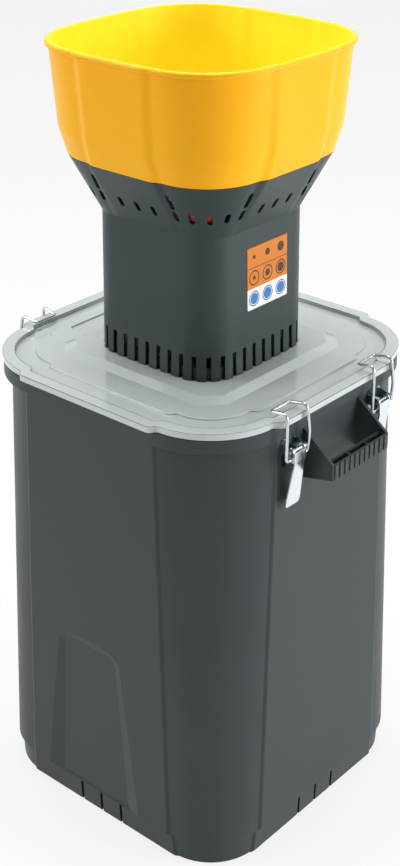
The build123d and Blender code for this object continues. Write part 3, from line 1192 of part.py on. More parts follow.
with BuildPart() as switch_rocker:
    rocker_plane = Plane(pivot_plane.origin, x_dir=pivot_plane.y_dir, z_dir=pivot_plane.x_dir)
    with BuildSketch(rocker_plane):
        with BuildLine() as rocker_view:
            # x runs up the face, y runs outwards; the upper half is pressed in
            tilt = radians(ROCKER_TILT)

            def rocked(along, out):
                return (along * cos(tilt) + out * sin(tilt), out * cos(tilt) - along * sin(tilt))

            Polyline(rocked(-ROCKER_HALF_HEIGHT, -ROCKER_THICK), rocked(ROCKER_HALF_HEIGHT, -ROCKER_THICK),
                     rocked(ROCKER_HALF_HEIGHT, ROCKER_PROUD), rocked(0, ROCKER_WAIST),
                     rocked(-ROCKER_HALF_HEIGHT, ROCKER_PROUD), close=True)
        make_face(rocker_view.edges())
    extrude(amount=ROCKER_HALF_WIDTH, both=True)
    with BuildSketch(rocker_plane):
        Circle(TRUNNION_RADIUS)
    extrude(amount=ROCKER_HALF_WIDTH + TRUNNION_LENGTH, both=True)
save(switch_rocker, "switch_rocker")

with BuildPart() as cable_gland:
    with BuildSketch(rear_gland):
        RegularPolygon(GLAND_HEX / 2, 6, major_radius=False)
    extrude(amount=GLAND_HEX_HEIGHT)
    with BuildSketch(rear_gland.offset(GLAND_HEX_HEIGHT)):
        Circle(GLAND_DOME_RADIUS)
    extrude(amount=GLAND_DOME, taper=14)
    with BuildSketch(rear_gland):
        Circle(GLAND_RADIUS)
    extrude(amount=-HOUSING_WALL - GLAND_NUT_HEIGHT)
    with BuildSketch(rear_gland.offset(-HOUSING_WALL - RUNNING_FIT)):
        RegularPolygon(GLAND_HEX / 2, 6, major_radius=False)
    extrude(amount=-GLAND_NUT_HEIGHT)
    with BuildSketch(rear_gland.offset(GLAND_HEX_HEIGHT + GLAND_DOME)):
        Circle(GLAND_BORE)
    extrude(amount=-GLAND_HEX_HEIGHT - GLAND_DOME - HOUSING_WALL - GLAND_NUT_HEIGHT, mode=Mode.SUBTRACT)
save(cable_gland, "cable_gland")

with BuildPart() as label:
    with BuildSketch(column_face("right", LABEL_Y, LABEL_Z)):
        RectangleRounded(LABEL_WIDTH, LABEL_HEIGHT, LABEL_CORNER)
    extrude(amount=LABEL_THICK)
save(label, "label")

# ----------------------------------------------------------------------------------------------
# Toggle latches. A latch frame runs outwards, sideways and up from the middle of its latch.
# ----------------------------------------------------------------------------------------------
LATCHES = [("right_front", 1, -LATCH_Y), ("right_rear", 1, LATCH_Y),
           ("left_front", -1, -LATCH_Y), ("left_rear", -1, LATCH_Y)]
pivot_x = BIN_HALF + PIVOT_OUT
pivot_z = BIN_HEIGHT - PIVOT_DROP
bail_z = pivot_z - BAIL_ARM


def side_plane(end, y, offset=0.0):
    """Return a plane seen from the side of a latch: x outwards, y up."""
    return Plane((0, y + offset, 0), x_dir=(end, 0, 0), z_dir=(0, -end, 0))


with BuildPart() as latch_brackets:
    for _, end, y in LATCHES:
        plate = Plane((end * BIN_HALF, y, pivot_z), x_dir=(0, end, 0), z_dir=(end, 0, 0))
        with BuildSketch(plate):
            with Locations((0, (BRACKET_TOP - BRACKET_FOOT) / 2)):
                RectangleRounded(2 * BRACKET_HALF, BRACKET_TOP + BRACKET_FOOT, 3 * BRACKET_SHEET)
            with Locations((0, RIVET_RISE), (0, -RIVET_DROP)):
                Circle(RIVET_RADIUS + RUNNING_FIT, mode=Mode.SUBTRACT)
        extrude(amount=BRACKET_SHEET)
        for ear in (1, -1):
            with BuildSketch(side_plane(end, y, ear * (BRACKET_HALF - BRACKET_SHEET / 2))):
                with Locations((pivot_x, pivot_z)):
                    Circle(EAR_NOSE)
                with BuildLine() as ear_view:
                    Polyline((BIN_HALF + BRACKET_SHEET / 2, pivot_z - EAR_NOSE), (pivot_x, pivot_z - EAR_NOSE),
                             (pivot_x, pivot_z + EAR_NOSE), (BIN_HALF + BRACKET_SHEET / 2, pivot_z + EAR_TOP),
                             close=True)
                make_face(ear_view.edges())
                with Locations((pivot_x, pivot_z)):
                    Circle(LATCH_PIN_RADIUS + RUNNING_FIT, mode=Mode.SUBTRACT)
            extrude(amount=BRACKET_SHEET / 2, both=True)
save(latch_brackets, "latch_brackets")

with BuildPart() as latch_pins:
    for _, end, y in LATCHES:
        with BuildSketch(side_plane(end, y)):
            with Locations((pivot_x, pivot_z)):
                Circle(LATCH_PIN_RADIUS)
        extrude(amount=BRACKET_HALF + BRACKET_SHEET / 2, both=True)
save(latch_pins, "latch_pins")

with BuildPart() as latch_rivets:
    for _, end, y in LATCHES:
        for rise in (RIVET_RISE, -RIVET_DROP):
            tail = BIN_HALF - BIN_WALL - RIVET_TAIL
            with BuildSketch(Plane((end * tail, y, pivot_z + rise), z_dir=(end, 0, 0))):
                Circle(RIVET_RADIUS)
            extrude(amount=RIVET_TAIL + BIN_WALL + BRACKET_SHEET)
            with BuildSketch(Plane((end * (BIN_HALF + BRACKET_SHEET), y, pivot_z + rise), z_dir=(end, 0, 0))):
                Circle(RIVET_HEAD)
            extrude(amount=BRACKET_SHEET, taper=25)
save(latch_rivets, "latch_rivets")

plate_run = sqrt(LEVER_LEAN ** 2 + LEVER_LENGTH ** 2)
for latch, end, y in LATCHES:
    with BuildPart() as lever:
        # two ears between the bracket's ears, holed for the lever pin and for the bail
        for ear in (1, -1):
            with BuildSketch(side_plane(end, y, ear * (LEVER_EAR_HALF - LEVER_SHEET / 2))):
                with Locations((pivot_x, pivot_z), (pivot_x, bail_z)):
                    Circle(EAR_NOSE - 2 * LOOSE_FIT)
                with BuildLine() as lever_view:
                    nose = EAR_NOSE - 2 * LOOSE_FIT
                    Polyline((pivot_x - nose, pivot_z), (pivot_x - nose, bail_z), (pivot_x, bail_z - nose),
                             (pivot_x + LEVER_PLATE_OUT + LEVER_SHEET, bail_z - nose),
                             (pivot_x + LEVER_PLATE_OUT + LEVER_SHEET, pivot_z), close=True)
                make_face(lever_view.edges())
                with Locations((pivot_x, pivot_z)):
                    Circle(LATCH_PIN_RADIUS + RUNNING_FIT, mode=Mode.SUBTRACT)
                with Locations((pivot_x, bail_z)):
                    Circle(WIRE_RADIUS + RUNNING_FIT, mode=Mode.SUBTRACT)
            extrude(amount=LEVER_SHEET / 2, both=True)
        # web across the ears
        with BuildSketch(Plane.XY.offset(bail_z - EAR_NOSE + 2 * LOOSE_FIT)):
            with Locations((end * (pivot_x + LEVER_PLATE_OUT + LEVER_SHEET / 2), y)):
                Rectangle(LEVER_SHEET, 2 * LEVER_EAR_HALF)
        extrude(amount=pivot_z - bail_z + EAR_NOSE - 2 * LOOSE_FIT)
        # flat plate, narrow at the neck and wide at the tip
        neck = Plane((end * (pivot_x + LEVER_PLATE_OUT), y, bail_z - EAR_NOSE / 2), x_dir=(0, end, 0),
                     z_dir=(end * LEVER_LENGTH / plate_run, 0, LEVER_LEAN / plate_run))
        with BuildSketch(neck):
            with BuildLine() as plate_view:
                FilletPolyline((LEVER_HALF_NECK, 0), (LEVER_HALF_NECK, -LEVER_NECK_LENGTH),
                               (LEVER_HALF_TIP, -LEVER_LENGTH + 2 * LEVER_TIP_ROUND),
                               (LEVER_HALF_TIP, -LEVER_LENGTH), (-LEVER_HALF_TIP, -LEVER_LENGTH),
                               (-LEVER_HALF_TIP, -LEVER_LENGTH + 2 * LEVER_TIP_ROUND),
                               (-LEVER_HALF_NECK, -LEVER_NECK_LENGTH), (-LEVER_HALF_NECK, 0),
                               radius=LEVER_TIP_ROUND)
                Line((-LEVER_HALF_NECK, 0), (LEVER_HALF_NECK, 0))
            make_face(plate_view.edges())
        extrude(amount=LEVER_SHEET)
    save(lever, f"lever_{latch}")

    with BuildPart() as bail:
        def placed(out, sideways, up):
            return (end * out, y + sideways, up)

        bar_out = LID_HALF - MARGIN_WIDTH - BAIL_BAR_INSET
        bar_up = MARGIN_Z + WIRE_RADIUS + BAIL_BAR_GAP
        shoulder_out = LID_HALF + BAIL_SHOULDER_OUT
        shoulder_up = bar_up + BAIL_SHOULDER_RISE
        pin_end = LEVER_EAR_HALF - LEVER_SHEET - LOOSE_FIT
        with BuildLine() as wire:
            FilletPolyline(placed(pivot_x, pin_end, bail_z), placed(pivot_x, BAIL_HALF_FOOT, bail_z),
                           placed(shoulder_out, BAIL_HALF_TOP, shoulder_up), placed(bar_out, BAIL_HALF_BAR, bar_up),
                           placed(bar_out, -BAIL_HALF_BAR, bar_up), placed(shoulder_out, -BAIL_HALF_TOP, shoulder_up),
                           placed(pivot_x, -BAIL_HALF_FOOT, bail_z), placed(pivot_x, -pin_end, bail_z),
                           radius=BAIL_BEND)
        with BuildSketch(Plane(placed(pivot_x, pin_end, bail_z), z_dir=(0, 1, 0))):
            Circle(WIRE_RADIUS)
        sweep(path=wire.wire())
    save(bail, f"bail_{latch}")
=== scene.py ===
"""Looks of an electric grain mill: a bin with a clamped lid, a motor column and a yellow hopper.

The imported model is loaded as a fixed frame. The classes of the sub-assemblies dress it, add the pieces
that the plain solids can't show, and make them ride on the right body. Sizes are in mm unless a comment
or a docstring says otherwise, and Blender's own lengths are in metres.
"""

import logging
import math
from dataclasses import dataclass, field
from enum import Enum
from typing import Any, Callable

import bmesh
import bpy
from mathutils import Matrix, Vector


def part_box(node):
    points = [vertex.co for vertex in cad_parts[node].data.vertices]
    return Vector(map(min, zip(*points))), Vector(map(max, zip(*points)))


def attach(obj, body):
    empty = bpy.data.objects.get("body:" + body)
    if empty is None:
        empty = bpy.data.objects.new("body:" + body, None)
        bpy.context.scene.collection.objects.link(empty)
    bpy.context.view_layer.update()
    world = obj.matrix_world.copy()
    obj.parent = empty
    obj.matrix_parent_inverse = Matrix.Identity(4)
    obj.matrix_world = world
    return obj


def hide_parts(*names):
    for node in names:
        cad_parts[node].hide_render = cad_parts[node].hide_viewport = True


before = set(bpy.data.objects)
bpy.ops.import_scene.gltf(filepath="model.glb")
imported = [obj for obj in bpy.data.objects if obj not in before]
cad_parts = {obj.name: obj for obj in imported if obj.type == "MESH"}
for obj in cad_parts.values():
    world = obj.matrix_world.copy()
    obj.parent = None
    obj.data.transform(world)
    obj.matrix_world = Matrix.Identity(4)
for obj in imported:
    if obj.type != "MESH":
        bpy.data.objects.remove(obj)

LOG = logging.getLogger("grain_mill")

Colour = tuple[float, float, float, float]
Span = tuple[float, float]
Zone = Callable[[Vector], bool]

# One millimetre in metres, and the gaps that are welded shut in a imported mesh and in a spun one.
MM = 0.001
WELD_MM = 0.002
SPUN_WELD_MM = 0.001
# Edges of a made piece that bend less than this are shaded smooth.
SMOOTH_DEGREES = 35.0
# Nearly all values of a Noise texture lie in this span.
NOISE_SPAN: Span = (0.3, 0.7)
WHITE: Colour = (1.0, 1.0, 1.0, 1.0)

# Each latch's side of the lid, +1 for +X, and the Y of its middle.
LATCHES: dict[str, tuple[int, float]] = {"right_front": (1, -82.0), "right_rear": (1, 82.0),
                                         "left_front": (-1, -82.0), "left_rear": (-1, 82.0)}


# ----------------------------------------------------------------------------------------------
# Small helpers
# ----------------------------------------------------------------------------------------------
def linear(hex_colour: str) -> Colour:
    """Turn an sRGB hex colour to linear RGBA.

    Args:
        hex_colour: Six hex digits, such as "3A4145".

    Returns:
        Linear red, green, blue and an alpha of 1.
    """
    parts = [int(hex_colour[i:i + 2], 16) / 255 for i in (0, 2, 4)]
    # The standard sRGB curve: a straight foot, then a power.
    lin = [c / 12.92 if c <= 0.04045 else ((c + 0.055) / 1.055) ** 2.4 for c in parts]
    return (lin[0], lin[1], lin[2], 1.0)


def per_mm(size_mm: float) -> float:
    """Return the texture scale at which one pattern cell is `size_mm` wide on Object coordinates."""
    return 1.0 / (size_mm * MM)


def add_object(name: str, data: bpy.types.ID) -> bpy.types.Object:
    """Make an object and put it in the scene.

    Args:
        name: The object's name.
        data: Its mesh, lamp or camera.

    Returns:
        The new object.
    """
    made = bpy.data.objects.new(name, data)
    bpy.context.scene.collection.objects.link(made)
    return made


@dataclass
class Shading:
    """A shader node tree under construction, with short calls for the nodes that repeat."""

    tree: bpy.types.NodeTree

    def set_up(self, node: bpy.types.Node, settings: dict[Any, Any]) -> None:
        """Set a node's attributes and inputs.

        Args:
            node: A node of the tree.
            settings: Attribute or input names (or input numbers) to values; an output socket is linked.
        """
        for key, value in settings.items():
            if isinstance(key, str) and key not in node.inputs and hasattr(node, key):
                setattr(node, key, value)
            elif isinstance(value, bpy.types.NodeSocket):
                self.tree.links.new(value, node.inputs[key])
            else:
                node.inputs[key].default_value = value

    def add(self, kind: str, settings: dict[Any, Any] | None = None) -> bpy.types.Node:
        """Add one node and set it up.

        Args:
            kind: The node's type name.
            settings: What `set_up` takes.

        Returns:
            The new node.
        """
        made = self.tree.nodes.new(kind)
        self.set_up(made, settings or {})
        return made

    def value(self, operation: str, first: Any, second: Any = 0.0) -> bpy.types.NodeSocket:
        """Return the result of one Math node."""
        return self.add("ShaderNodeMath", {"operation": operation, 0: first, 1: second}).outputs[0]

    def opposite(self, share: bpy.types.NodeSocket) -> bpy.types.NodeSocket:
        """Return 1 less a share."""
        return self.value("SUBTRACT", 1.0, share)

    def between(self, value: bpy.types.NodeSocket, span: Span) -> bpy.types.NodeSocket:
        """Return 1 where a value lies in a span, and 0 elsewhere."""
        return self.value("MULTIPLY", self.value("LESS_THAN", value, span[1]),
                          self.value("GREATER_THAN", value, span[0]))

    def remap(self, value: bpy.types.NodeSocket, source: Span, target: Span) -> bpy.types.NodeSocket:
        """Spread a value over another span and clamp it there.

        Args:
            value: The value.
            source: The span it comes from.
            target: The span it goes to.

        Returns:
            The spread value.
        """
        return self.add("ShaderNodeMapRange", {
            "Value": value, "From Min": source[0], "From Max": source[1],
            "To Min": target[0], "To Max": target[1]}).outputs["Result"]

    def ramp(self, value: bpy.types.NodeSocket, span: Span,
             colours: tuple[Colour, Colour]) -> bpy.types.NodeSocket:
        """Turn a value to a colour between two.

        Args:
            value: The value.
            span: The values at which the two colours are reached.
            colours: The two colours.

        Returns:
            The colour.
        """
        made = self.add("ShaderNodeValToRGB", {"Fac": value})
        for stop, position, colour in zip(made.color_ramp.elements, span, colours):
            stop.position = position
            stop.color = colour
        return made.outputs["Color"]

    def mix(self, share: bpy.types.NodeSocket, first: Any, second: Any) -> bpy.types.NodeSocket:
        """Mix two colours.

        Args:
            share: The second colour's share.
            first: The first colour, or a socket that gives it.
            second: The second colour, or a socket that gives it.

        Returns:
            The mixed colour.
        """
        return self.add("ShaderNodeMix", {"data_type": "RGBA", 0: share, 6: first, 7: second}).outputs[2]


class Surface(Shading):
    """A Principled material under construction, textured on Object coordinates."""

    def __init__(self, name: str) -> None:
        """Make the material with its Principled node and its coordinates.

        Args:
            name: The material's name.
        """
        self.material = bpy.data.materials.new(name)
        self.material.use_nodes = True
        super().__init__(self.material.node_tree)
        self.tree.nodes.clear()
        self.shader = self.add("ShaderNodeBsdfPrincipled")
        self.add("ShaderNodeOutputMaterial", {"Surface": self.shader.outputs["BSDF"]})
        places = self.add("ShaderNodeTexCoord")
        self.coords = places.outputs["Object"]
        self.normal = places.outputs["Normal"]

    def noise(self, cell_mm: float, detail: float, roughness: float = 0.5) -> bpy.types.NodeSocket:
        """Add a Noise texture.

        Args:
            cell_mm: The width of one cell.
            detail: How many finer layers it has.
            roughness: How strong the finer layers are.

        Returns:
            Its value.
        """
        return self.add("ShaderNodeTexNoise", {"Vector": self.coords, "Scale": per_mm(cell_mm),
                                               "Detail": detail, "Roughness": roughness}).outputs["Fac"]

    def bump(self, height: bpy.types.NodeSocket, strength: float,
             depth_mm: float) -> bpy.types.NodeSocket:
        """Turn a height to a bumped normal.

        Args:
            height: The height, from 0 to 1.
            strength: The bump's strength.
            depth_mm: The depth that a height of 1 stands for.

        Returns:
            The normal.
        """
        return self.add("ShaderNodeBump", {"Height": height, "Strength": strength,
                                           "Distance": depth_mm * MM}).outputs["Normal"]

    def openness(self, samples: int, reach_mm: float) -> bpy.types.NodeSocket:
        """Measure how open the surface lies.

        Args:
            samples: The number of rays.
            reach_mm: How far they look.

        Returns:
            1 where the surface lies open, and less where it is closed in.
        """
        return self.add("ShaderNodeAmbientOcclusion", {"samples": samples,
                                                       "Distance": reach_mm * MM}).outputs["AO"]

    def close(self, settings: dict[Any, Any]) -> bpy.types.Material:
        """Set up the Principled node.

        Args:
            settings: What `set_up` takes.

        Returns:
            The finished material.
        """
        self.set_up(self.shader, settings)
        return self.material


# ----------------------------------------------------------------------------------------------
# Finishes
# ----------------------------------------------------------------------------------------------
@dataclass(frozen=True)
class MouldedPlastic:
    """Injection moulded plastic: an even colour, a fine spark-eroded grain and a soft sheen."""

    name: str
    colour: str
    worn: str
    roughness: float = 0.42
    gloss_drift: Span = (-0.04, 0.05)
    grain_mm: float = 1.6
    grain_height: float = 0.12
    grain_depth_mm: float = 0.4
    cloud_mm: float = 90.0
    cloud_span: Span = (0.35, 0.75)
    ior: float = 1.49
    specular: float = 0.5
    # Painted shade in creases: how far the occlusion looks, the darkest share, and the openness span over
    # which it fades.
    shade_reach_mm: float = 9.0
    crease_shade: float = 0.45
    crease_shade_span: Span = (0.3, 0.9)

    def build(self) -> bpy.types.Material:
        """Build the material: faint colour clouds, uneven gloss, a moulded grain as bump, and painted shade
        in creases.

        Returns:
            The material.
        """
        made = Surface(self.name)
        cloud = made.noise(self.cloud_mm, detail=4.0, roughness=0.55)
        tint = made.ramp(cloud, self.cloud_span, (linear(self.colour), linear(self.worn)))
        gloss = made.remap(cloud, NOISE_SPAN, (self.roughness + self.gloss_drift[0],
                                               self.roughness + self.gloss_drift[1]))
        grain = made.noise(self.grain_mm, detail=2.0, roughness=0.6)
        # Painted shade: creases, the walls under edges and the gaps between ribs are drawn darker where the
        # ambient occlusion finds them closed in.
        open_share = made.openness(samples=6, reach_mm=self.shade_reach_mm)
        depth = made.remap(open_share, self.crease_shade_span, (self.crease_shade, 1.0))
        colour = made.add("ShaderNodeVectorMath", {"operation": "SCALE", 0: tint, "Scale": depth})
        return made.close({"Roughness": gloss, "IOR": self.ior, "Specular IOR Level": self.specular,
                           "Normal": made.bump(grain, self.grain_height, self.grain_depth_mm),
                           **self.skin(made, colour.outputs[0])})

    def skin(self, made: Surface, colour: bpy.types.NodeSocket) -> dict[str, Any]:
        """Return the settings that bring the colour to the surface."""
        return {"Base Color": colour}


@dataclass(frozen=True)
class GlowingPlastic(MouldedPlastic):
    """Thin, slightly translucent moulding: its inside is painted a lighter, purer colour for the light
    through the wall, and a subsurface glow lets some light through.
    """

    # Painted light: the lighter, purer colour of the inside, where light comes through the wall, and the
    # facing values over which it fades in.
    inside: str = "FFE835"
    lit_inside_span: Span = (0.35, -0.25)
    glow: float = 0.3
    glow_mm: float = 5.0
    glow_radius: tuple[float, float, float] = (1.0, 0.6, 0.1)

    def skin(self, made: Surface, colour: bpy.types.NodeSocket) -> dict[str, Any]:
        """Paint the light through the wall as a lighter colour where the surface faces the axis, and let
        light through.

        Args:
            made: The material under construction.
            colour: The colour of the outside.

        Returns:
            The settings that bring the colours and the glow to the surface.
        """
        level = made.add("ShaderNodeVectorMath", {"operation": "MULTIPLY", 0: made.coords,
                                                  1: (1.0, 1.0, 0.0)})
        heading = made.add("ShaderNodeVectorMath", {"operation": "NORMALIZE", 0: level.outputs[0]})
        facing = made.add("ShaderNodeVectorMath", {"operation": "DOT_PRODUCT", 0: heading.outputs[0],
                                                   1: made.normal})
        # Painted light: surfaces that face the axis take the lighter inside colour.
        painted_light_share = made.remap(facing.outputs["Value"], self.lit_inside_span, (0.0, 1.0))
        return {"Base Color": made.mix(painted_light_share, colour, linear(self.inside)), "Subsurface Weight": self.glow,
                "Subsurface Radius": self.glow_radius, "Subsurface Scale": self.glow_mm * MM}


@dataclass(frozen=True)
class EnamelledSheet:
    """Pressed steel sheet under a gloss stoving enamel: smooth, with a faint orange-peel ripple."""

    name: str
    colour: str
    shade: str
    roughness: float = 0.11
    smear_roughness: float = 0.08
    smear_mm: float = 45.0
    smear_span: Span = (0.3, 0.75)
    cloud_mm: float = 120.0
    cloud_span: Span = (0.35, 0.7)
    peel_mm: float = 7.0
    peel_height: float = 0.05
    peel_depth_mm: float = 0.6
    # Painted shade: the colour of the dark line at the foot of each pressed step, how far the occlusion
    # looks, and the openness span over which it fades.
    line: str = "565D5F"
    step_shade_mm: float = 4.0
    step_shade_span: Span = (0.45, 0.85)
    ior: float = 1.55
    coat: float = 0.8
    coat_roughness: float = 0.05

    def build(self) -> bpy.types.Material:
        """Build the material: a near even colour under a hard coat with a slow ripple, and painted shade
        lines at the foot of each pressed step.

        Returns:
            The material.
        """
        made = Surface(self.name)
        cloud = made.noise(self.cloud_mm, detail=3.0)
        tint = made.ramp(cloud, self.cloud_span, (linear(self.colour), linear(self.shade)))
        # Painted shade: the foot of each pressed step, where the ambient occlusion finds a crease, is drawn
        # as a thin dark line.
        open_share = made.openness(samples=8, reach_mm=self.step_shade_mm)
        depth = made.remap(open_share, self.step_shade_span, (0.0, 1.0))
        peel = made.noise(self.peel_mm, detail=1.0)
        smear = made.noise(self.smear_mm, detail=6.0)
        gloss = made.remap(smear, self.smear_span, (self.roughness, self.roughness + self.smear_roughness))
        return made.close({"Base Color": made.mix(depth, linear(self.line), tint), "Roughness": gloss,
                           "Normal": made.bump(peel, self.peel_height, self.peel_depth_mm),
                           "IOR": self.ior, "Coat Weight": self.coat, "Coat Roughness": self.coat_roughness})


@dataclass(frozen=True)
class Metal:
    """Bare or plated metal: fine marks along one axis, patchy gloss, and a tint from its plating."""

    name: str
    colour: str
    second: str
    roughness: float = 0.24
    gloss_share: Span = (0.75, 1.35)
    mark_mm: tuple[float, float, float] = (30.0, 0.5, 0.5)
    mark_height: float = 0.06
    mark_depth_mm: float = 0.2
    patch_mm: float = 8.0
    patch_span: Span = (0.3, 0.72)

    def build(self) -> bpy.types.Material:
        """Build the material: stretched noise gives the marks, round noise the patches of the plating.

        Returns:
            The material.
        """
        made = Surface(self.name)
        stretched = made.add("ShaderNodeMapping", {"Vector": made.coords,
                                                   "Scale": [per_mm(size) for size in self.mark_mm]})
        marks = made.add("ShaderNodeTexNoise", {"Vector": stretched.outputs["Vector"], "Scale": 1.0,
                                                "Detail": 3.0}).outputs["Fac"]
        patch = made.noise(self.patch_mm, detail=3.0)
        tint = made.ramp(patch, self.patch_span, (linear(self.colour), linear(self.second)))
        gloss = made.remap(marks, NOISE_SPAN, (self.roughness * self.gloss_share[0],
                                               self.roughness * self.gloss_share[1]))
        return made.close({"Base Color": tint, "Roughness": gloss, "Metallic": 1.0,
                           "Normal": made.bump(marks, self.mark_height, self.mark_depth_mm)})


class Axis(Enum):
    """The axis along which a stack's layers follow each other."""

    Y = "Y"
    Z = "Z"


@dataclass(frozen=True)
class BandedStack:
    """A stack of thin layers, such as motor laminations or turns of wire: fine bright and dark bands."""

    name: str
    layer: str
    joint: str
    pitch_mm: float
    axis: Axis = Axis.Z
    band_span: Span = (0.15, 0.55)
    groove_height: float = 0.5
    groove_mm: float = 0.3
    metallic: float = 0.8
    roughness: float = 0.4

    def build(self) -> bpy.types.Material:
        """Build the material: a wave along one axis draws the layers in colour and in bump.

        Returns:
            The material.
        """
        made = Surface(self.name)
        # A wave's period is 2 pi / 20 of its coordinate, so this makes one band per layer.
        wave = made.add("ShaderNodeTexWave", {
            "Vector": made.coords, "wave_type": "BANDS", "bands_direction": self.axis.value,
            "Scale": per_mm(self.pitch_mm) * math.pi / 10, "Distortion": 0.4, "Detail": 1.0}).outputs["Fac"]
        return made.close({
            "Base Color": made.ramp(wave, self.band_span, (linear(self.joint), linear(self.layer))),
            "Normal": made.bump(wave, self.groove_height, self.groove_mm),
            "Metallic": self.metallic, "Roughness": self.roughness})


@dataclass(frozen=True)
class PrintedFilm:
    """Adhesive label printed in two fields: dots and rings on orange, above discs on white."""

    name: str
    orange: str = "D47C22"
    white: str = "E9E9E6"
    ink: str = "4A3326"
    blue: str = "3F79B5"
    roughness: float = 0.4
    specular: float = 0.3
    columns: int = 3
    middle_y: float = 7.0
    low_z: float = 669.6
    cell_mm: float = 24.3
    row_mm: float = 25.6
    dot_mm: float = 2.6
    dot_growth_mm: float = 1.7
    ring_mm: Span = (7.6, 9.2)
    disc_mm: float = 9.4
    disc_gap_mm: Span = (7.0, 7.9)
    rule_at: float = 0.985
    rule_half: float = 0.02

    def build(self) -> bpy.types.Material:
        """Build the material: distances from the middle of each of nine cells draw its mark.

        Returns:
            The material.
        """
        made = Surface(self.name)
        apart = made.add("ShaderNodeSeparateXYZ", {"Vector": made.coords})
        column = self._cells(made, apart.outputs["Y"], self.middle_y - self.columns / 2 * self.cell_mm,
                             self.cell_mm)
        row = self._cells(made, apart.outputs["Z"], self.low_z, self.row_mm)
        distance = self._distance(made, column, row)
        # Rows count from 0 at the foot: discs on white, then dots in rings, then dots alone.
        level = made.value("FLOOR", row)
        low_row = made.value("LESS_THAN", level, 0.5)
        top_row = made.value("GREATER_THAN", level, 1.5)
        radius = made.value("ADD", made.value("MULTIPLY", made.value("FLOOR", column), self.dot_growth_mm),
                            self.dot_mm)
        ring = made.value("MULTIPLY", made.between(distance, self.ring_mm), made.opposite(top_row))
        marks = made.value("MAXIMUM", made.value("LESS_THAN", distance, radius), ring)
        off_rule = made.value("ABSOLUTE", made.value("SUBTRACT", made.value("FRACT", row), self.rule_at))
        rule = made.value("MULTIPLY", made.value("LESS_THAN", off_rule, self.rule_half),
                          made.value("GREATER_THAN", level, 0.5))
        marks = made.value("MULTIPLY", made.value("MAXIMUM", marks, rule), made.opposite(low_row))
        disc = made.value("SUBTRACT", made.value("LESS_THAN", distance, self.disc_mm),
                          made.between(distance, self.disc_gap_mm))
        discs = made.value("MULTIPLY", disc, low_row)
        ground = made.mix(low_row, linear(self.orange), linear(self.white))
        inked = made.mix(marks, ground, linear(self.ink))
        return made.close({"Base Color": made.mix(discs, inked, linear(self.blue)),
                           "Roughness": self.roughness, "Specular IOR Level": self.specular})

    def _cells(self, made: Surface, place: bpy.types.NodeSocket, start: float,
               size: float) -> bpy.types.NodeSocket:
        """Count cells along one axis.

        Args:
            made: The material under construction.
            place: The coordinate, in metres.
            start: Where the first cell starts.
            size: A cell's size.

        Returns:
            The number of cells from the start, with its fraction.
        """
        off = made.value("SUBTRACT", made.value("MULTIPLY", place, 1.0 / MM), start)
        return made.value("DIVIDE", off, size)

    def _distance(self, made: Surface, column: bpy.types.NodeSocket,
                  row: bpy.types.NodeSocket) -> bpy.types.NodeSocket:
        """Measure the distance from the middle of the cell that a point is in.

        Args:
            made: The material under construction.
            column: The point's place along the columns.
            row: The point's place along the rows.

        Returns:
            The distance, in mm.
        """
        squares = []
        for cells, size in ((column, self.cell_mm), (row, self.row_mm)):
            inside = made.value("SUBTRACT", made.value("FRACT", cells), 0.5)
            off = made.value("MULTIPLY", inside, size)
            squares.append(made.value("MULTIPLY", off, off))
        return made.value("SQRT", made.value("ADD", *squares))


class Stock(Enum):
    """Every finish that the mill is made in."""

    BIN = MouldedPlastic("moulded_polypropylene_grey", "353D40", "3A4245", roughness=0.44, grain_mm=2.0,
                         specular=0.32, crease_shade=0.85)
    COLUMN = MouldedPlastic("moulded_abs_green_grey", "313C3E", "364143", roughness=0.42, specular=0.32)
    HOPPER = GlowingPlastic("moulded_abs_yellow", "FFB808", "FFBC0E", roughness=0.3, grain_height=0.05,
                            specular=0.2, shade_reach_mm=5.0, crease_shade=0.8)
    DUCT = MouldedPlastic("moulded_polypropylene_orange", "D2421A", "DB4E22", roughness=0.4)
    BLACK = MouldedPlastic("moulded_nylon_black", "17181A", "1F2022", roughness=0.35)
    RUBBER = MouldedPlastic("moulded_seal_rubber", "141414", "1D1D1D", roughness=0.65, grain_mm=0.8)
    CARBON = MouldedPlastic("pressed_carbon", "1B1B1C", "262628", roughness=0.55, grain_mm=0.6)
    LID = EnamelledSheet("gloss_enamel_light_grey", "BFC9C8", "C5CECD")
    ZINC = Metal("bright_zinc_plate", "DADEE1", "C6CBCF", roughness=0.22, mark_mm=(4.0, 4.0, 18.0),
                 mark_height=0.012)
    LEVER = Metal("clear_passivated_zinc", "F0F5F9", "E3EAF0", roughness=0.2, mark_mm=(5.0, 5.0, 24.0),
                  mark_height=0.01)
    BRACKET = Metal("blue_passivated_zinc", "A3B3B8", "8A9CA2", roughness=0.16, mark_mm=(6.0, 6.0, 20.0),
                    mark_height=0.02)
    STEEL = Metal("machined_steel", "A4A5A8", "8E9093", roughness=0.3, mark_mm=(20.0, 20.0, 0.6))
    CAST = Metal("die_cast_aluminium", "B3B5B8", "9DA0A4", roughness=0.42, mark_mm=(1.2, 1.2, 1.2),
                 mark_height=0.3)
    LAMINATIONS = BandedStack("stacked_laminations", "55565A", "17181A", 1.5)
    COMMUTATOR = Metal("turned_copper_bars", "C07A4E", "A86238", roughness=0.3, mark_mm=(30.0, 30.0, 0.6))
    WINDING = BandedStack("enamelled_copper_wire", "B5602C", "4A1E0E", 1.2, Axis.Y, metallic=0.6,
                          roughness=0.35)
    LABEL = PrintedFilm("printed_label_film")


MADE: dict[Stock, bpy.types.Material] = {}


def finish_of(stock: Stock) -> bpy.types.Material:
    """Return a finish's material, built on first use."""
    if stock not in MADE:
        MADE[stock] = stock.value.build()
    return MADE[stock]


def dress(node: str, stock: Stock) -> None:
    """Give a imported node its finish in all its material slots.

    Args:
        node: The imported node's name.
        stock: The finish.
    """
    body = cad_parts[node]
    body.data.materials.clear()
    body.data.materials.append(finish_of(stock))
    LOG.info("dressed %s in %s", node, stock.value.name)


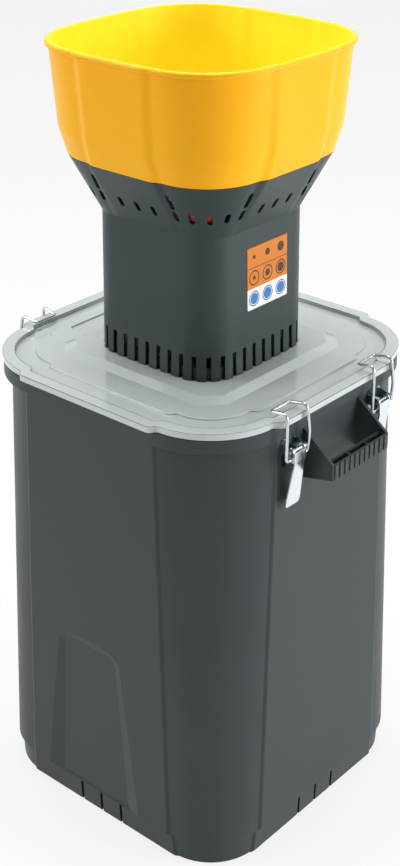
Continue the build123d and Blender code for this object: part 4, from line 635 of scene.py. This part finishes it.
# ----------------------------------------------------------------------------------------------
# Shaping
# ----------------------------------------------------------------------------------------------
def finish_piece(name: str, shape: bmesh.types.BMesh, stock: Stock, body: str) -> bpy.types.Object:
    """Turn a finished bmesh, in metres in the shared frame, to a piece that rides on a body.

    Args:
        name: The piece's name.
        shape: Its mesh, which is freed here.
        stock: Its finish.
        body: The body that it moves with.

    Returns:
        The new piece.
    """
    mesh = bpy.data.meshes.new(name)
    shape.to_mesh(mesh)
    shape.free()
    mesh.shade_smooth()
    mesh.set_sharp_from_angle(angle=math.radians(SMOOTH_DEGREES))
    mesh.materials.append(finish_of(stock))
    piece = add_object(name, mesh)
    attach(piece, body)
    LOG.info("made %s, %d polygons", name, len(mesh.polygons))
    return piece


def edges_among(shape: bmesh.types.BMesh, corners: list[bmesh.types.BMVert]) -> list[bmesh.types.BMEdge]:
    """Return the edges whose ends are both among the given corners."""
    return [edge for edge in shape.edges if edge.verts[0] in corners and edge.verts[1] in corners]


def spun(shape: bmesh.types.BMesh, outline: list[tuple[float, float]], middle: tuple[float, float],
         start: float, sweep: float, steps: int) -> None:
    """Spin a closed outline round an upright axis.

    Args:
        shape: The mesh to add to.
        outline: Radius and height of each corner.
        middle: X and Y of the axis.
        start: The direction of the first outline, in degrees from +X.
        sweep: The angle to spin through, in degrees; 360 closes the ring.
        steps: The number of steps.
    """
    whole = sweep >= 360.0
    turn = Matrix.Rotation(math.radians(start), 3, "Z")
    axis = Vector((*middle, 0.0)) * MM
    corners = [shape.verts.new(turn @ Vector((radius, 0.0, up)) * MM + axis) for radius, up in outline]
    face = shape.faces.new(corners)
    if whole:
        # A closed ring has no end faces, so only the outline's edges are spun.
        bmesh.ops.delete(shape, geom=[face], context="FACES_ONLY")
        geometry = corners + edges_among(shape, corners)
    else:
        geometry = [face, *face.edges, *corners]
    bmesh.ops.spin(shape, geom=geometry, cent=axis, axis=(0, 0, 1), angle=math.radians(sweep),
                   steps=steps, use_merge=whole)
    bmesh.ops.remove_doubles(shape, verts=shape.verts, dist=SPUN_WELD_MM * MM)
    bmesh.ops.recalc_face_normals(shape, faces=shape.faces)


def bent_path(points: list[Vector], radii: list[float], steps: int) -> list[Vector]:
    """Round the bends of a wire's line.

    Args:
        points: The line's ends and the corners between them.
        radii: The bend at each corner, in the points' units.
        steps: Segments in each bend.

    Returns:
        The ends with every corner turned to a short curve.
    """
    line = [points[0]]
    for before, corner, after, radius in zip(points, points[1:], points[2:], radii):
        back, ahead = (before - corner).normalized(), (after - corner).normalized()
        reach = radius / math.tan(back.angle(ahead) / 2)
        start, end = corner + back * reach, corner + ahead * reach
        for step in range(steps + 1):
            share = step / steps
            line.append(start * (1 - share) ** 2 + corner * 2 * share * (1 - share) + end * share ** 2)
    return line + [points[-1]]


def swept_wire(line: list[Vector], radius: float, sides: int) -> bmesh.types.BMesh:
    """Sweep a circle along a line.

    Args:
        line: The wire's centre line, in metres.
        radius: The wire's radius, in metres.
        sides: The circle's sides.

    Returns:
        The closed wire.
    """
    wire = bmesh.new()
    rings: list[list[bmesh.types.BMEdge]] = []
    last = len(line) - 1
    spin = (line[1] - line[0]).to_track_quat("Z", "Y")
    for number, place in enumerate(line):
        heading = line[min(number + 1, last)] - line[max(number - 1, 0)]
        spin = (spin @ Vector((0, 0, 1))).rotation_difference(heading) @ spin
        ring = bmesh.ops.create_circle(
            wire, cap_ends=number in (0, last), segments=sides, radius=radius,
            matrix=Matrix.Translation(place) @ spin.to_matrix().to_4x4())["verts"]
        rings.append(edges_among(wire, ring))
    for first, second in zip(rings, rings[1:]):
        bmesh.ops.bridge_loops(wire, edges=first + second)
    bmesh.ops.recalc_face_normals(wire, faces=wire.faces)
    return wire


# ----------------------------------------------------------------------------------------------
# Sub-assemblies with pieces of their own
# ----------------------------------------------------------------------------------------------
@dataclass
class WireBails:
    """The four spring wire bails, with their legs bowed outwards and soft shoulders over the lid's edge."""

    wire_radius: float = 2.0
    wire_sides: int = 14
    half_line: tuple[tuple[float, float, float], ...] = (
        (212.0, 8.5, 544.0), (212.0, 19.5, 544.0), (213.4, 20.6, 568.0), (211.0, 17.8, 602.2),
        (187.0, 16.5, 597.85))
    bends: tuple[float, ...] = (4.5, 60.0, 7.5, 4.0)
    bend_steps: int = 6

    def build(self) -> None:
        """Sweep each bail's wire and let it stand for the plain one."""
        for name, (end, middle) in LATCHES.items():
            near = [Vector((end * out, middle + side, up)) * MM for out, side, up in self.half_line]
            far = [Vector((end * out, middle - side, up)) * MM for out, side, up in reversed(self.half_line)]
            bends = [bend * MM for bend in (*self.bends, *reversed(self.bends))]
            wire = swept_wire(bent_path(near + far, bends, self.bend_steps), self.wire_radius * MM,
                              self.wire_sides)
            piece = finish_piece(f"bail_wire_{name}", wire, Stock.ZINC, f"bail_{name}")
            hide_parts(f"bail_{name}")


@dataclass
class GrainDuct:
    """The way of the grain past the motor: an orange funnel with its shield, and a black tube below it."""

    funnel_height: float = 28.0
    overlap: float = 3.0
    shield_middle: tuple[float, float] = (56.5, -56.5)
    shield_start: float = -79.0
    shield_sweep: float = 45.0
    shield_steps: int = 14
    shield_outline: tuple[tuple[float, float], ...] = (
        (26.0, 784.0), (40.0, 784.0), (53.7, 811.0), (52.4, 811.0), (39.0, 785.2), (26.0, 785.2))

    def build(self) -> None:
        """Build the two lengths of the duct and the shield behind the front corner's vents."""
        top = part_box("grain_duct")[1].z
        split = top - (self.funnel_height + self.overlap) * MM
        self._length("duct_funnel", split, True, Stock.DUCT)
        tube = self._length("duct_tube", split, False, Stock.BLACK)
        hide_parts("grain_duct")
        shield = bmesh.new()
        spun(shield, list(self.shield_outline), self.shield_middle, self.shield_start, self.shield_sweep,
             self.shield_steps)
        finish_piece("duct_shield", shield, Stock.DUCT, "mill")

    def _length(self, name: str, split: float, upper: bool, stock: Stock) -> bpy.types.Object:
        """Cut one length of the duct out of the whole.

        Args:
            name: The piece's name.
            split: Height of the cut, in metres.
            upper: Whether the length above the cut is kept.
            stock: The finish.

        Returns:
            The cut piece.
        """
        half = bmesh.new()
        half.from_mesh(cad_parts["grain_duct"].data)
        bmesh.ops.remove_doubles(half, verts=half.verts, dist=WELD_MM * MM)
        geometry = list(half.verts) + list(half.edges) + list(half.faces)
        cut = bmesh.ops.bisect_plane(half, geom=geometry, plane_co=(0, 0, split), plane_no=(0, 0, 1),
                                     clear_inner=upper, clear_outer=not upper)
        rim = [edge for edge in cut["geom_cut"] if isinstance(edge, bmesh.types.BMEdge)]
        bmesh.ops.bridge_loops(half, edges=rim)
        return finish_piece(name, half, stock, "mill")


@dataclass
class ArmatureWindings:
    """The copper end turns at both ends of the rotor's core."""

    ends: tuple[tuple[float, float], ...] = ((633.6, 641.2), (717.8, 725.8))
    shaft_radius: float = 8.0
    outer_radius: float = 25.0
    corner: float = 2.4
    steps: int = 48

    def build(self) -> None:
        """Spin one ring with bevelled corners at each end of the core."""
        for number, (low, high) in enumerate(self.ends, 1):
            ring = bmesh.new()
            shoulder = self.outer_radius - self.corner
            spun(ring, [(self.shaft_radius, low), (shoulder, low), (self.outer_radius, low + self.corner),
                        (self.outer_radius, high - self.corner), (shoulder, high),
                        (self.shaft_radius, high)], (0.0, 0.0), 0.0, 360.0, self.steps)
            finish_piece(f"armature_winding_{number}", ring, Stock.WINDING, "rotor")


def nowhere(_: Vector) -> bool:
    """Return False for any point: the zone that holds nothing."""
    return False


@dataclass(frozen=True)
class LidHem:
    """The zone of the lid's upper outer edge."""

    low_z: float = 595.0
    half_width: float = 196.0
    half_diagonal: float = 233.0

    def __call__(self, place: Vector) -> bool:
        """Return whether a point is on the hem."""
        across, along = abs(place.x), abs(place.y)
        at_corner = (across + along) / math.sqrt(2) > self.half_diagonal
        return place.z > self.low_z and (max(across, along) > self.half_width or at_corner)


@dataclass(frozen=True)
class CrowdedEdges:
    """The zone where the bin's edges crowd: its foot and recesses, and its handles and latch seats."""

    foot_top_z: float = 260.0
    handle_x: float = 195.0
    handle_y: float = 110.0
    handle_z: Span = (470.0, 575.0)

    def __call__(self, place: Vector) -> bool:
        """Return whether a point is in the zone."""
        low, high = self.handle_z
        by_handle = abs(place.x) > self.handle_x and abs(place.y) < self.handle_y and low < place.z < high
        return place.z < self.foot_top_z or by_handle


@dataclass
class SoftenedShell:
    """A moulded or pressed node shown with the small rounds of the real piece on its sharp edges."""

    node: str
    slot: str
    stock: Stock
    round_mm: float = 0.8
    segments: int = 2
    sharp_degrees: float = 24.0
    flat_degrees: float = 0.2
    shade_degrees: float = 24.0
    wide_mm: float = 0.0
    wide_where: Zone = nowhere
    crisp_where: Zone = nowhere
    # Heights below which the walls take another finish; on the lid they paint shade on its skirt.
    bands: tuple[tuple[float, Stock], ...] = ()
    wall_normal_z: float = 0.5
    body: str = "mill"

    def build(self) -> bpy.types.Object:
        """Build the softened copy and let it stand for the node.

        Returns:
            The softened piece.
        """
        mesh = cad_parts[self.node].data.copy()
        mesh.name = f"{self.node}_softened"
        shell = bmesh.new()
        shell.from_mesh(mesh)
        bmesh.ops.remove_doubles(shell, verts=shell.verts, dist=WELD_MM * MM)
        # Flat faces become single polygons, so that a round runs along a whole edge.
        bmesh.ops.dissolve_limit(shell, angle_limit=math.radians(self.flat_degrees), verts=shell.verts,
                                 edges=shell.edges)
        self._cut_shade_bands(shell)
        widest = max(self.round_mm, self.wide_mm)
        self._weigh_edges(shell, widest)
        shell.to_mesh(mesh)
        shell.free()
        if "custom_normal" in mesh.attributes:
            mesh.attributes.remove(mesh.attributes["custom_normal"])
        mesh.shade_smooth()
        mesh.set_sharp_from_angle(angle=math.radians(self.shade_degrees))
        piece = add_object(mesh.name, mesh)
        self._add_rounds(piece, widest)
        mesh.materials.clear()
        for stock in (self.stock, *(stock for _, stock in self.bands)):
            mesh.materials.append(finish_of(stock))
        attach(piece, self.body)
        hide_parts(self.node)
        LOG.info("softened %s, %d polygons", self.node, len(mesh.polygons))
        return piece

    def _cut_shade_bands(self, shell: bmesh.types.BMesh) -> None:
        """Cut the shell at the top of each band and give the walls below it the band's finish; on the lid
        this is painted shade.

        Args:
            shell: The mesh, in metres.
        """
        for number, (top, _) in enumerate(self.bands, 1):
            whole = list(shell.verts) + list(shell.edges) + list(shell.faces)
            bmesh.ops.bisect_plane(shell, geom=whole, plane_co=(0, 0, top * MM), plane_no=(0, 0, 1))
            for face in shell.faces:
                if face.calc_center_median().z < top * MM and abs(face.normal.z) < self.wall_normal_z:
                    face.material_index = number

    def _weigh_edges(self, shell: bmesh.types.BMesh, widest: float) -> None:
        """Give each sharp edge the share of the widest round that it gets.

        Args:
            shell: The mesh, in metres.
            widest: The widest round.
        """
        share = shell.edges.layers.float.new("bevel_weight_edge")
        for edge in shell.edges:
            if len(edge.link_faces) != 2 or edge.calc_face_angle(0.0) <= math.radians(self.sharp_degrees):
                continue
            ends = [vert.co / MM for vert in edge.verts]
            if not all(map(self.crisp_where, ends)):
                edge[share] = (self.wide_mm if all(map(self.wide_where, ends)) else self.round_mm) / widest

    def _add_rounds(self, piece: bpy.types.Object, widest: float) -> None:
        """Add the modifiers that round the weighted edges and keep the walls flat.

        Args:
            piece: The softened piece.
            widest: The widest round.
        """
        soft = piece.modifiers.new("soft_edges", "BEVEL")
        soft.limit_method = "WEIGHT"
        soft.width = widest * MM
        soft.segments = self.segments
        soft.use_clamp_overlap = False
        soft.miter_outer = "MITER_SHARP"
        # The larger faces lead the shading, so that flat walls stay flat right up to a round.
        lead = piece.modifiers.new("flat_walls", "WEIGHTED_NORMAL")
        lead.keep_sharp = True


# Painted shade: below its hem the lid's own skirt is painted in the gasket's black as a dark shadow line,
# and then in the bin's dark grey.
SOFTENED: tuple[SoftenedShell, ...] = (
    SoftenedShell("bin", "bin_polypropylene", Stock.BIN, round_mm=0.9, shade_degrees=11.0,
                  crisp_where=CrowdedEdges()),
    SoftenedShell("lid", "lid_enamel", Stock.LID, round_mm=0.9, segments=3, wide_mm=1.6, wide_where=LidHem(),
                  bands=((593.4, Stock.RUBBER), (592.2, Stock.BIN))),
    SoftenedShell("housing", "dark_polypropylene", Stock.COLUMN, round_mm=0.5),
    SoftenedShell("hopper", "yellow_plastic", Stock.HOPPER, round_mm=0.9, segments=3))


# ----------------------------------------------------------------------------------------------
# Sub-assemblies that only need their finish
# ----------------------------------------------------------------------------------------------
@dataclass
class DressedGroup:
    """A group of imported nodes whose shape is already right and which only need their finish."""

    finishes: dict[str, Stock] = field(default_factory=dict)

    def dress(self) -> None:
        """Dress every node of the group."""
        for node, stock in self.finishes.items():
            dress(node, stock)


@dataclass
class Motor(DressedGroup):
    """The motor inside the column."""

    finishes: dict[str, Stock] = field(default_factory=lambda: {
        "motor_flange": Stock.CAST, "motor_can": Stock.STEEL, "upper_bracket": Stock.CAST,
        "bracket_screws": Stock.ZINC, "stator_core": Stock.LAMINATIONS, "field_coils": Stock.WINDING,
        "brush_holders": Stock.BLACK, "carbon_brushes": Stock.CARBON, "lower_bearing": Stock.STEEL,
        "upper_bearing": Stock.STEEL, "shaft_seal": Stock.RUBBER, "flange_bolts": Stock.ZINC})


@dataclass
class Rotor(DressedGroup):
    """Everything that spins: the shaft, the motor's armature and the blades."""

    finishes: dict[str, Stock] = field(default_factory=lambda: {
        "rotor_shaft": Stock.STEEL, "rotor_core": Stock.LAMINATIONS, "commutator": Stock.COMMUTATOR,
        "cooling_fan": Stock.BLACK, "upper_blade": Stock.STEEL, "lower_blade": Stock.STEEL,
        "blade_spacers": Stock.STEEL, "shaft_nut": Stock.ZINC})


@dataclass
class GrindingChamber(DressedGroup):
    """The chamber under the lid."""

    finishes: dict[str, Stock] = field(default_factory=lambda: {
        "chamber_top": Stock.STEEL, "sieve": Stock.STEEL, "chamber_base": Stock.STEEL,
        "chamber_studs": Stock.ZINC, "wing_nuts": Stock.ZINC})


@dataclass
class Casing(DressedGroup):
    """Bin, lid, column, hopper and what is fixed to them."""

    finishes: dict[str, Stock] = field(default_factory=lambda: {
        "bin": Stock.BIN, "lid": Stock.LID, "lid_gasket": Stock.RUBBER, "housing": Stock.COLUMN,
        "base_ring": Stock.COLUMN, "base_screws": Stock.ZINC, "hopper": Stock.HOPPER,
        "hopper_screws": Stock.ZINC, "hopper_guard": Stock.ZINC, "gate_guide": Stock.ZINC,
        "feed_gate": Stock.ZINC, "gate_knob": Stock.BLACK, "grain_duct": Stock.DUCT, "label": Stock.LABEL,
        "switch_body": Stock.BLACK, "switch_rocker": Stock.BLACK, "cable_gland": Stock.BLACK})


@dataclass
class ToggleLatches(DressedGroup):
    """Four toggle latches: brackets, pins, rivets, levers and wire bails."""

    finishes: dict[str, Stock] = field(default_factory=lambda: {
        "latch_brackets": Stock.BRACKET, "latch_pins": Stock.ZINC, "latch_rivets": Stock.ZINC,
        **{f"lever_{place}": Stock.LEVER for place in LATCHES},
        **{f"bail_{place}": Stock.ZINC for place in LATCHES}})


# ----------------------------------------------------------------------------------------------
# Studio
# ----------------------------------------------------------------------------------------------
@dataclass
class SoftLamp:
    """A square soft box aimed at the mill; places and sizes in metres, power in watts."""

    name: str
    place: tuple[float, float, float]
    target: tuple[float, float, float]
    size: float
    power: float

    def build(self) -> None:
        """Make the lamp and aim it."""
        lamp = bpy.data.lights.new(self.name, "AREA")
        lamp.shape = "SQUARE"
        lamp.size = self.size
        lamp.energy = self.power
        holder = add_object(self.name, lamp)
        holder.location = self.place
        aim = Vector(self.target) - Vector(self.place)
        holder.rotation_euler = aim.to_track_quat("-Z", "Y").to_euler()


@dataclass
class Studio:
    """The pale floor, the white surroundings, the lamps and the camera; places and sizes in metres."""

    camera_place: tuple[float, float, float] = (1.1295, -1.30233, 1.36644)
    camera_aim: tuple[float, float, float] = (-0.60556, 0.69686, -0.38430)
    camera_reach: float = 100.0
    focal_mm: float = 64.268
    sensor_mm: float = 36.0
    shift_y: float = -0.15358
    floor_size: float = 30.0
    floor_tones: Span = (0.80, 0.83)
    floor_speckle: float = 3.0
    floor_glow: float = 0.8
    ambient: float = 0.62
    ambient_front: float = 0.22
    front: tuple[float, float, float] = (0.656, -0.755, 0.0)
    front_reach: float = 0.85
    lamps: tuple[SoftLamp, ...] = (
        SoftLamp("key_right", (2.7, 1.4, 1.15), (0, 0, 0.4), 1.6, 68.0),
        SoftLamp("fill_left", (-2.0, -2.1, 1.9), (0, 0, 0.9), 1.2, 32.0),
        SoftLamp("top", (-0.35, 0.25, 2.9), (0, 0, 0.6), 1.8, 50.0))

    def build(self) -> None:
        """Build all of the studio."""
        self._floor()
        self._world()
        for lamp in self.lamps:
            lamp.build()
        self._camera()

    def _floor(self) -> None:
        """Lay the pale floor: near white to the camera and in reflections, with the mill's shadow kept."""
        grid = bmesh.new()
        bmesh.ops.create_grid(grid, x_segments=1, y_segments=1, size=self.floor_size / 2)
        mesh = bpy.data.meshes.new("floor")
        grid.to_mesh(mesh)
        grid.free()
        floor = add_object("floor", mesh)
        material = bpy.data.materials.new("pale_floor")
        material.use_nodes = True
        nodes = Shading(material.node_tree)
        nodes.tree.nodes.clear()
        speckle = nodes.add("ShaderNodeTexNoise", {"Scale": self.floor_speckle}).outputs["Fac"]
        dark, light = ((tone, tone, tone, 1.0) for tone in self.floor_tones)
        tone = nodes.ramp(speckle, (0.0, 1.0), (dark, light))
        matt = nodes.add("ShaderNodeBsdfDiffuse", {"Color": tone})
        glow = nodes.add("ShaderNodeEmission", {"Strength": 1.0})
        path = nodes.add("ShaderNodeLightPath").outputs
        seen = nodes.value("MAXIMUM", path["Is Camera Ray"], path["Is Glossy Ray"])
        share = nodes.value("MULTIPLY", seen, self.floor_glow)
        mixed = nodes.add("ShaderNodeMixShader", {0: share, 1: matt.outputs[0], 2: glow.outputs[0]})
        nodes.add("ShaderNodeOutputMaterial", {"Surface": mixed.outputs[0]})
        mesh.materials.append(material)

    def _world(self) -> None:
        """Make the surroundings: white as a background, dimmer as a light, dimmest in front of the mill."""
        world = bpy.data.worlds.new("studio_white")
        bpy.context.scene.world = world
        world.use_nodes = True
        nodes = Shading(world.node_tree)
        nodes.tree.nodes.clear()
        path = nodes.add("ShaderNodeLightPath").outputs
        seen = nodes.value("MAXIMUM", path["Is Camera Ray"], path["Is Transmission Ray"])
        heading = nodes.add("ShaderNodeTexCoord").outputs["Generated"]
        facing = nodes.add("ShaderNodeVectorMath", {"operation": "DOT_PRODUCT", 0: heading, 1: self.front})
        level = nodes.remap(facing.outputs["Value"], (0.0, self.front_reach),
                            (self.ambient, self.ambient_front))
        dim = nodes.add("ShaderNodeBackground", {"Color": WHITE, "Strength": level})
        white = nodes.add("ShaderNodeBackground", {"Color": WHITE, "Strength": 1.0})
        mixed = nodes.add("ShaderNodeMixShader", {0: seen, 1: dim.outputs[0], 2: white.outputs[0]})
        nodes.add("ShaderNodeOutputWorld", {"Surface": mixed.outputs[0]})

    def _camera(self) -> None:
        """Place the camera."""
        lens = bpy.data.cameras.new("camera")
        lens.lens = self.focal_mm
        lens.sensor_width = self.sensor_mm
        lens.shift_y = self.shift_y
        lens.clip_end = self.camera_reach
        camera = add_object("camera", lens)
        camera.location = self.camera_place
        camera.rotation_euler = Vector(self.camera_aim).to_track_quat("-Z", "Y").to_euler()
        bpy.context.scene.camera = camera


def main() -> None:
    """Build the dressed mill and its studio."""
    logging.basicConfig(level=logging.INFO, format="%(name)s: %(message)s")
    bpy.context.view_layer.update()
    bpy.context.scene.view_settings.view_transform = "Standard"
    for group in (Casing(), Motor(), Rotor(), GrindingChamber(), ToggleLatches()):
        group.dress()
    for shell in SOFTENED:
        shell.build()
    for detail in (WireBails(), GrainDuct(), ArmatureWindings()):
        detail.build()
    Studio().build()


if __name__ == "__main__":
    main()
